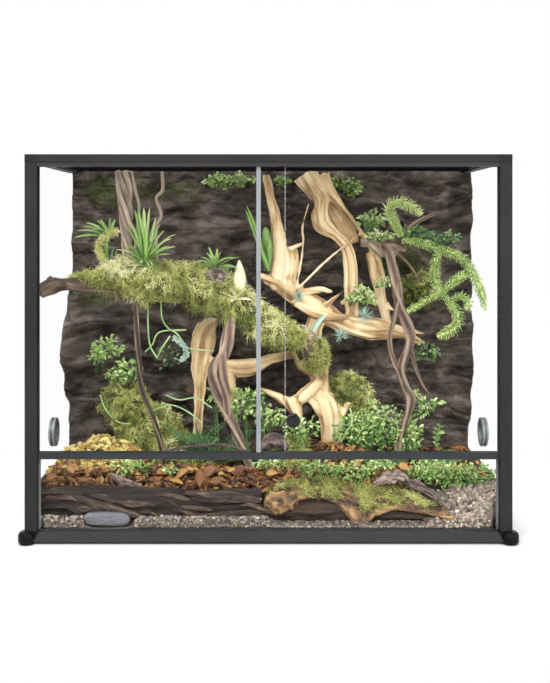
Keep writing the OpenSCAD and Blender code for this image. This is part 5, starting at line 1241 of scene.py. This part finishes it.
# a creeper: a thin stem with small pointed leaves at each side
def creeper(base, tip, pairs, size, tone=0.5, wave=0.006, wide=0.62):
    base, tip = np.array(base) / 1000, np.array(tip) / 1000
    s = np.linspace(0.08, 1, pairs * 2)
    way = unit(tip - base)
    bend = np.stack([wave * np.sin(7 * s + base[0] * 50), -0.4 * wave * np.cos(9 * s), 0 * s], -1)
    place = base + (tip - base) * s[:, None] + bend
    side = np.array([1, 0, 0]) * np.tile([1, -1], pairs)[:, None] + 0.45 * way + dice.normal(0, 0.35, (pairs * 2, 3))
    long = size * dice.uniform(0.6, 1.15, (pairs * 2, 1)) / 1000
    out = long * unit(side + [0, -0.35, 0.1])
    leaves = ribbons(place, out, out * 0.5 + [0, 0, 0.0015], long[:, 0] * wide, leafShape, 5, 4, 0.14,
                     shadeAround(tone, 0.16, pairs * 2), np.array([0, -0.8, 0.6]), 0.3)
    table = np.concatenate([place * 1000, np.full((len(place), 1), 0.9)], 1)
    return merge([leaves, limb(table, 5, 2, 1, None, None, 0)])


# bushes from rows of (px, py, mm behind), half sizes, count, leaf's length, root, tone, share, stalks and low
def bushes(rows):
    return [bush(spot(*place), *rest) for place, *rest in rows]


# leafy growth on the ground, on the rock and on the wood
ground = 0.110
leafy = bushes([
    ((107, 348, 300), [36, 20, 26], 120, 12, onRock(100, 372), 0.62),
    ((98, 356, 306), [22, 16, 16], 50, 10, onRock(98, 375), 0.5),
    ((128, 369, 300), [34, 20, 22], 110, 12, onRock(125, 392), 0.45),
    ((116, 376, 296), [26, 16, 14], 60, 10, onRock(118, 395), 0.5),
    ((236, 404, 250), [40, 24, 36], 150, 13, [-0.075, -0.02, ground], 0.55),
    ((250, 396, 262), [24, 20, 20], 60, 12, [-0.05, 0.0, ground], 0.4),
    ((215, 392, 258), [12, 12, 26], 50, 12, [-0.115, 0.0, ground], 0.7, 0.35),
    ((270, 418, 240), [36, 20, 26], 110, 11, [0.0, -0.03, ground], 0.6),
    ((300, 428, 236), [46, 22, 26], 140, 10, [0.07, -0.03, ground], 0.6),
    ((262, 405, 270), [12, 14, 34], 60, 9, [-0.01, 0.01, ground], 0.3),
    ((355, 432, 250), [52, 30, 44], 330, 9, [0.20, 0.0, ground], 0.48),
    ((385, 425, 262), [56, 34, 46], 420, 9, [0.27, 0.01, ground], 0.50),
    ((408, 436, 250), [36, 26, 50], 260, 9, [0.32, 0.0, ground], 0.52),
    ((372, 415, 290), [26, 26, 34], 120, 9, [0.24, 0.05, ground], 0.6),
])
putPiece("frontBushes", merge(leafy), leafSkin, "foliage")
leafy = bushes([
    ((456, 474, 88), [88, 16, 26], 560, 9, [0.38, -0.14, 0.108], 0.50, 0.62, 26, 0.084),
    ((425, 470, 96), [40, 16, 22], 170, 8, [0.30, -0.14, 0.108], 0.5, 0.62, 9, 0.084),
    ((318, 469, 96), [44, 14, 18], 170, 8, [0.10, -0.14, 0.108], 0.42, 0.62, 9, 0.084),
    ((352, 471, 92), [46, 14, 22], 180, 9, [0.17, -0.145, 0.108], 0.5, 0.62, 9, 0.084),
    ((382, 464, 100), [26, 14, 12], 70, 9, [0.235, -0.14, 0.108], 0.66),
    ((268, 462, 98), [34, 12, 9], 60, 9, [0.0, -0.14, 0.108], 0.72),
    ((122, 467, 92), [26, 12, 14], 50, 12, [-0.30, -0.14, 0.108], 0.7, 0.4),
    ((170, 468, 90), [14, 10, 12], 34, 9, [-0.20, -0.14, 0.108], 0.75),
])
for x, lean, top in ((250, 10, 205), (340, -8, 220), (392, -6, 196), (310, 12, 205)):
    leafy.append(creeper([x, 20, 108], [x + lean, 4, top], 8, 15, 0.42))
for px, py, drop in ((206, 174, 14), (213, 173, 18), (221, 173, 26), (229, 173, 16), (237, 173, 22), (246, 172, 16),
                     (255, 172, 14), (279, 173, 18), (285, 174, 14), (328, 173, 16), (336, 173, 24), (344, 174, 28),
                     (352, 176, 30), (357, 180, 20)):
    top, low = onRock(px, py, -0.004) * 1000, onRock(px + 2, py + drop * 0.62, 0.012) * 1000
    leafy.append(creeper([top[0], top[1], min(top[2], 774)], low, 6, 12, 0.62, 0.004, 0.75))
for px, py, wide, high, many in ((218, 181, 30, 16, 110), (236, 180, 24, 14, 80), (340, 182, 30, 14, 110),
                                 (352, 190, 20, 14, 60), (280, 182, 14, 14, 36)):
    leafy.append(bush(onRock(px, py, 0.012), [wide, 9, high], many, 10, onRock(px, py, -0.003), 0.6, 0.75, 6))
vineLeaves = bushes([((430, 403, 262), [28, 10, 9], 46, 12, spot(414, 402, 250), 0.66, 0.45, 4),
                     ((415, 396, 256), [10, 10, 16], 26, 10, spot(411, 405, 256), 0.6, 0.5, 3),
              ((424, 412, 262), [20, 10, 9], 26, 11, spot(413, 410, 250), 0.62, 0.45, 3)])
putPiece("leafyCreepers", merge(leafy + vineLeaves), leafSkin, "foliage", ("leafy_creepers",))

# small plants seated on the driftwood: yellow rosettes, dark foliage at the stump and silvery air plants
rosettes = bushes([((371, 221, 320), [36, 16, 12], 90, 12, spot(366, 236, 330), 0.62),
                   ((380, 235, 312), [34, 16, 10], 90, 10, spot(378, 243, 322), 0.82),
            ((372, 216, 322), [14, 12, 12], 30, 12, spot(370, 230, 330), 0.45),
                   ((362, 292, 300), [24, 14, 14], 70, 11, spot(358, 302, 312), 0.80),
            ((366, 298, 298), [28, 14, 10], 60, 12, spot(362, 305, 312), 0.6),
                   ((384, 282, 300), [22, 12, 9], 40, 10, spot(378, 288, 312), 0.85),
            ((352, 299, 300), [18, 12, 8], 30, 10, spot(350, 306, 312), 0.7)])
putPiece("rosettes", merge(rosettes), leafSkin, "foliage")
darkLeaves = bushes([((413, 234, 310), [34, 22, 18], 130, 13, spot(400, 240, 318), 0.4),
                     ((442, 238, 322), [44, 22, 16], 130, 10, spot(410, 242, 318), 0.5),
              ((428, 352, 372), [30, 16, 22], 90, 10, onRock(428, 356, -0.002), 0.62),
                     ((166, 356, 350), [30, 16, 34], 60, 9, onRock(166, 372, -0.002), 0.5)])
putPiece("darkFoliage", merge(darkLeaves), darkLeafSkin, "foliage")


def spiky(px, py, behind, count, long, width=0.0022, up=0.5):
    way = unit(dice.normal(0, 1, (count, 3)) + [0, -0.5, up])
    size = long * dice.uniform(0.6, 1.1, (count, 1))
    return ribbons(np.broadcast_to(spot(px, py, behind), (count, 3)), size * (way + [0, 0, 0.15]), size * 0.5 * way
                   + [0, 0, 0.002], width,
                   strandShape, 5, 4, 0.3, dice.uniform(0.3, 1.0, count))


air = [spiky(299, 297, 306, 60, 0.022), spiky(364, 317, 296, 80, 0.024), spiky(341, 336, 292, 90, 0.024),
       spiky(318, 345, 284, 30, 0.012),
       fan((310, 336), 292, [(327, 314, 12, 15, 10), (300, 327, 16, 8, 8), (322, 338, 18, 8, 6), (304, 343, 16, 6, 4)],
           (0.5, 0.9), leafShape)]
curl = [(174, 338, 252, 1), (180, 342, 252, 1), (185, 349, 252, 1), (186, 356, 252, 1), (181, 360, 252, 1)]
path = curveThrough(seenTable(curl), 12) / 1000
pick = np.repeat(np.arange(0, len(path) - 1), 5)
way = unit(dice.normal(0, 1, (len(pick), 3)) + [0.3, -0.5, 0])
air.append(ribbons(path[pick, :3], 0.009 * way, 0.0045 * way, 0.004, leafShape, 4, 4, 0.2,
                   dice.uniform(0.4, 1.0, len(pick))))
putPiece("airPlants", merge(air), airSkin, "foliage")

# thin green stems that hang from the branch and arch over the rock
stemRows = [[(148, 305, 214), (148, 325, 226), (150, 345, 236), (157, 358, 240)],
            [(157, 358, 240), (162, 348, 238), (170, 336, 240)], [(161, 300, 214), (162, 318, 226), (168, 328, 236),
                                                                  (178, 335, 246), (188, 352, 256)],
            [(145, 352, 236), (152, 345, 234), (160, 332, 238), (186, 330, 260)],
            [(186, 348, 256), (200, 350, 246), (214, 351, 240)], [(150, 412, 250), (170, 405, 240), (188, 412, 236),
                                                                  (203, 424, 232)],
            [(165, 395, 300), (180, 400, 290), (196, 398, 280), (212, 408, 262)],
            [(100, 395, 300), (106, 410, 300), (118, 422, 296), (130, 424, 290)],
            [(340, 445, 232), (346, 432, 232), (352, 422, 236), (350, 408, 240)]]
stems = [limb(seenTable([(*place, 1.6) for place in row]), 7, 14, 1, barkSwell, swellTone(barkSwell, 0.78, 1.2), k)
         for k, row in enumerate(stemRows)]
putPiece("hangingStems", merge(stems), darkLeafSkin, "foliage")
print("scene: plants made")

# leaf litter: dry leaves that lie curled on the soil; large curled leaves and bark bits stand among them
litterSet = [(-432, -84, 46, 36, 90, 0.95, 1.0), (-372, -104, 36, 28, 60, 0.85, 1.0),
             (-190, -128, 66, 18, 60, 0.42, 1.2), (190, -118, 56, 22, 50, 0.4, 1.0), (400, -118, 46, 24, 34, 0.5, 1.0),
             (-420, 0, 40, 30, 40, 0.9, 1.0), (-360, -132, 110, 16, 130, 0.40, 0.8), (-90, -132, 60, 14, 60, 0.30, 1.0),
             (150, -60, 60, 60, 80, 0.40, 1.2), (-390, 30, 70, 60, 110, 0.92, 0.9), (0, -120, 470, 28, 160, 0.30, 0.8),
             (240, -140, 30, 8, 26, 0.45, 1.4)]
litterParts, faceCount = [], 420
heapSet = [([-424, -14, 106], [46, 44, 46], 210, 0.84), ([-380, 0, 106], [52, 46, 62], 260, 0.86),
           ([-332, 10, 106], [40, 40, 46], 140, 0.76), ([136, -30, 106], [62, 36, 54], 170, 0.36),
           ([182, -26, 106], [46, 32, 44], 110, 0.42), ([-440, -90, 104], [44, 40, 24], 120, 0.46)]


# leaves that lie with their middles at the places and point along way, bowed by lift
def dryLeaves(place, way, size, lift, wide, tone, facing, cup, rows=6, sides=4, thick=0.10):
    half = way * size / 2
    litterParts.append(ribbons(place - half, way * size, half + lift, size[:, 0] * wide, leafShape, rows, sides, thick,
                               tone,
                               facing, cup))


for centre, size, count, tone in heapSet:
    way = unit(dice.normal(0, 1, (count, 3)) + [0, -0.5, 0.4])
    way[:, 2] = np.abs(way[:, 2])
    place = (np.array(centre) + way * size) / 1000
    lie = unit(np.cross(way, dice.normal(0, 1, (count, 3))) + dice.uniform(0, 0.9, (count, 1)) * way)
    long = dice.uniform(0.016, 0.034, (count, 1))
    dryLeaves(place, lie, long, way * 0.006, 0.42, shadeAround(tone, 0.24, count),
              way + dice.normal(0, 0.6, (count, 3)), 0.7)
    # a dark dome under each heap, at a quarter of its tone: painted shade between the leaves
    dome = ballWays(0.05, math.pi / 2, 10, 28)
    litterParts.append(outward(loft((np.array(centre) + dome * size * 0.84)[None] / 1000, 0.25 * tone)))
for x, y, wide, deep, count, tone, grow in litterSet:
    w, far = dice.uniform(0, 2 * math.pi, count), np.sqrt(dice.random(count))
    place = np.stack([x + wide * far * np.cos(w), y + deep * far * np.sin(w), 113 + 13 * dice.random(count)], -1) / 1000
    place[:, 0], place[:, 1] = np.clip(place[:, 0], -0.470, 0.470), np.maximum(place[:, 1], -0.156)
    way = unit(dice.normal(0, 1, (count, 3)) * [1, 1, 0.45])
    size = grow * dice.uniform(0.012, 0.027, (count, 1))
    dryLeaves(place, way, size, [0, 0, 0.004], 0.5, shadeAround(tone, 0.22, count),
              dice.normal(0, 0.35, (count, 3)) + [0, -0.5, 0.8], 0.5)
count = faceCount  # on the soil's front, over the left log
px = dice.uniform(-478, 330, count)
place = np.stack([px, np.full(count, -157.5) - 3 * dice.random(count), dice.uniform(88, 113, count)], -1) / 1000
way = unit(dice.normal(0, 1, (count, 3)) * [1, 0.15, 0.6])
size = dice.uniform(0.010, 0.024, (count, 1))
dryLeaves(place, way, size, [0, -0.004, 0], 0.42, shadeAround(0.26, 0.2, count),
          dice.normal(0, 0.4, (count, 3)) + [0, -1, 0.4], 0.6)
curled = [(176, 482, 84, 26, 0.62), (182, 474, 92, 24, 0.5), (200, 478, 88, 30, 0.36), (210, 472, 94, 28, 0.3),
          (216, 482, 86, 22, 0.34), (385, 481, 84, 24, 0.5), (388, 474, 92, 18, 0.44), (404, 468, 94, 22, 0.55),
          (52, 478, 92, 20, 0.4), (70, 470, 96, 20, 0.44), (78, 486, 84, 18, 0.5), (272, 474, 90, 20, 0.6),
          (345, 463, 104, 20, 0.5), (360, 461, 108, 18, 0.56), (240, 470, 96, 22, 0.16), (252, 478, 90, 20, 0.12)]
place = np.array([spot(px, py, q) for px, py, q, size, tone in curled])
size = 1.2 * np.array([row[3] for row in curled])[:, None] / 1000
way = unit(dice.normal(0, 1, (len(curled), 3)) * [1, 0.3, 0.35])
dryLeaves(place, way, size, [0, 0, 0.006], 0.7 / 1.2, np.array([row[4] for row in curled]),
          np.array([0, -0.7, 0.7]) + dice.normal(0, 0.3, (len(curled), 3)), 0.6, 8, 6, 0.08)
putPiece("leafLitter", merge(litterParts), litterSkin, "dry_leaf", ("leaf_litter",))
sticks = [([[165, 451, 150, 2], [195, 446, 150, 3], [225, 445, 150, 3], [250, 452, 140, 2]], 0.12),
          ([[262, 449, 190, 8], [274, 440, 190, 15], [288, 449, 190, 8]], 0.28),
          ([[374, 484, 82, 5], [386, 478, 84, 11], [400, 477, 86, 12], [408, 481, 84, 6]], 0.85),
          ([[402, 480, 80, 5], [412, 484, 78, 9], [424, 490, 76, 9], [438, 500, 70, 5]], 0.22),
          ([[110, 474, 90, 4], [122, 481, 86, 7], [136, 486, 84, 6], [143, 488, 84, 3]], 0.62)]
barkParts = [limb(seenTable(table), 26, 16, 0.8, tufted, swellTone(tufted, tone, 1.3), k + 4)
             for k, (table, tone) in enumerate(sticks)]
putPiece("barkPieces", merge(barkParts), purpleSkin, "bark")

# lid mesh: straight wires both ways over the lid frame
wireSet = {"pitch": 3.0, "wire": 0.45, "weave": 0.2}
low, high = (np.array(corner) * 1000 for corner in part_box("lid_mesh"))
xs = np.arange(low[0] + 1, high[0] - 1, wireSet["pitch"])
ys = np.arange(low[1] + 1, high[1] - 1, wireSet["pitch"])
zMid = (low[2] + high[2]) / 2


def wires(starts, ends, radius):
    ahead = unit(ends - starts)
    side = np.cross(ahead, [0, 0, 1.0])
    angle = circle(4) + math.pi / 4
    ring = np.cos(angle)[None, :, None] * side[:, None] + np.sin(angle)[None, :, None] * np.array([0, 0, 1.0])
    rings = np.stack([starts[:, None] + radius * ring, ends[:, None] + radius * ring], 1)
    return outward(loft(rings[:, :, ::-1] / 1000, 0.5))


lengthwise = [np.stack([0 * ys + end[0], ys, 0 * ys + zMid - wireSet["weave"]], -1) for end in (low, high)]
crosswise = [np.stack([xs, 0 * xs + end[1], 0 * xs + zMid + wireSet["weave"]], -1) for end in (low, high)]
mesh = merge([wires(*ends, wireSet["wire"]) for ends in (lengthwise, crosswise)])
putPiece("lidWires", mesh, lidMetal, "lid_metal", ("lid_mesh",), "mesh_top", False)
print("scene: lid made")

# ground edge of the left door's pane, which shows as a pale upright line
low, high = (np.array(corner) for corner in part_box("door_left"))
edgeLow, edgeHigh = np.array([high[0] - 0.0011, low[1] + 0.0002, low[2] + 0.0002]), high - 0.0002
ring = np.array([[edgeLow[0], edgeLow[1]], [edgeHigh[0], edgeLow[1]], [edgeHigh[0], edgeHigh[1]],
                 [edgeLow[0], edgeHigh[1]]])
rings = np.stack([np.hstack([ring, np.full((4, 1), z)]) for z in (edgeLow[2], edgeHigh[2])])
putPiece("leftDoorEdge", outward(loft(rings[None])), groundEdge, "clear_glass", (), "door_left", False)


# 1 for a ray that the camera, a gloss or the glass sends out, else 0
def seenDirectly(tree):
    rays = addNode(tree, "ShaderNodeLightPath").outputs
    return mathOf(tree, "ADD", mathOf(tree, "ADD", rays["Is Camera Ray"], rays["Is Glossy Ray"], True),
                  rays["Is Transmission Ray"], True)


# floor: white, keeps the shadow near the tank and fades to the white of the world
floorMesh = bpy.data.meshes.new("floor")
floorMesh.from_pydata([(-30, -30, 0), (30, -30, 0), (30, 30, 0), (-30, 30, 0)], [], [(0, 1, 2, 3)])
floor = bpy.data.objects.new("floor", floorMesh)
scene.collection.objects.link(floor)
floorSkin, tree, shader = startMaterial("floorWhite", Base_Color=(0.93, 0.93, 0.93, 1.0), Roughness=0.7,
                                        Specular_IOR_Level=0.1)
away = addNode(tree, "ShaderNodeVectorMath", {0: objectCoords(tree)}, operation="LENGTH")
fade = addNode(tree, "ShaderNodeMapRange", {"Value": away.outputs["Value"], "From Min": 0.62, "From Max": 0.95},
               interpolation_type="SMOOTHSTEP")
white = addNode(tree, "ShaderNodeEmission", {"Color": (1, 1, 1, 1), "Strength": 1.0})
mix = addNode(tree, "ShaderNodeMixShader", {0: mathOf(tree, "MULTIPLY", seenDirectly(tree), fade.outputs[0]),
                                            1: shader.outputs[0],
                                           2: white.outputs[0]})
tree.links.new(mix.outputs[0], tree.nodes["Material Output"].inputs["Surface"])
floorMesh.materials.append(floorSkin)

# world and lamps: soft, at a plain level
world = bpy.data.worlds.new("studio")
scene.world = world
world.use_nodes = True
tree = world.node_tree
strength = addNode(tree, "ShaderNodeMapRange", {"Value": seenDirectly(tree), "To Min": 0.55, "To Max": 1.0})
tree.nodes["Background"].inputs["Color"].default_value = (1, 1, 1, 1)
tree.links.new(strength.outputs[0], tree.nodes["Background"].inputs["Strength"])

lampSet = {"key": ((-0.7, -1.9, 2.3), 2.0, 60), "fill": ((1.6, -2.2, 1.2), 1.8, 25), "top": ((0.0, 0.2, 2.6), 1.6, 40)}
for name, (place, size, power) in lampSet.items():
    lampData = bpy.data.lights.new(name, "AREA")
    lampData.shape, lampData.size, lampData.energy = "DISK", size, power
    lamp = bpy.data.objects.new(name, lampData)
    lamp.location = place
    aim = np.array([0.0, 0.0, 0.42]) - np.array(place)
    level = math.hypot(aim[0], aim[1])
    lamp.rotation_euler = (math.pi / 2 + math.atan2(aim[2], level), 0, math.atan2(-aim[0], aim[1]))
    scene.collection.objects.link(lamp)
print("scene: stage made")
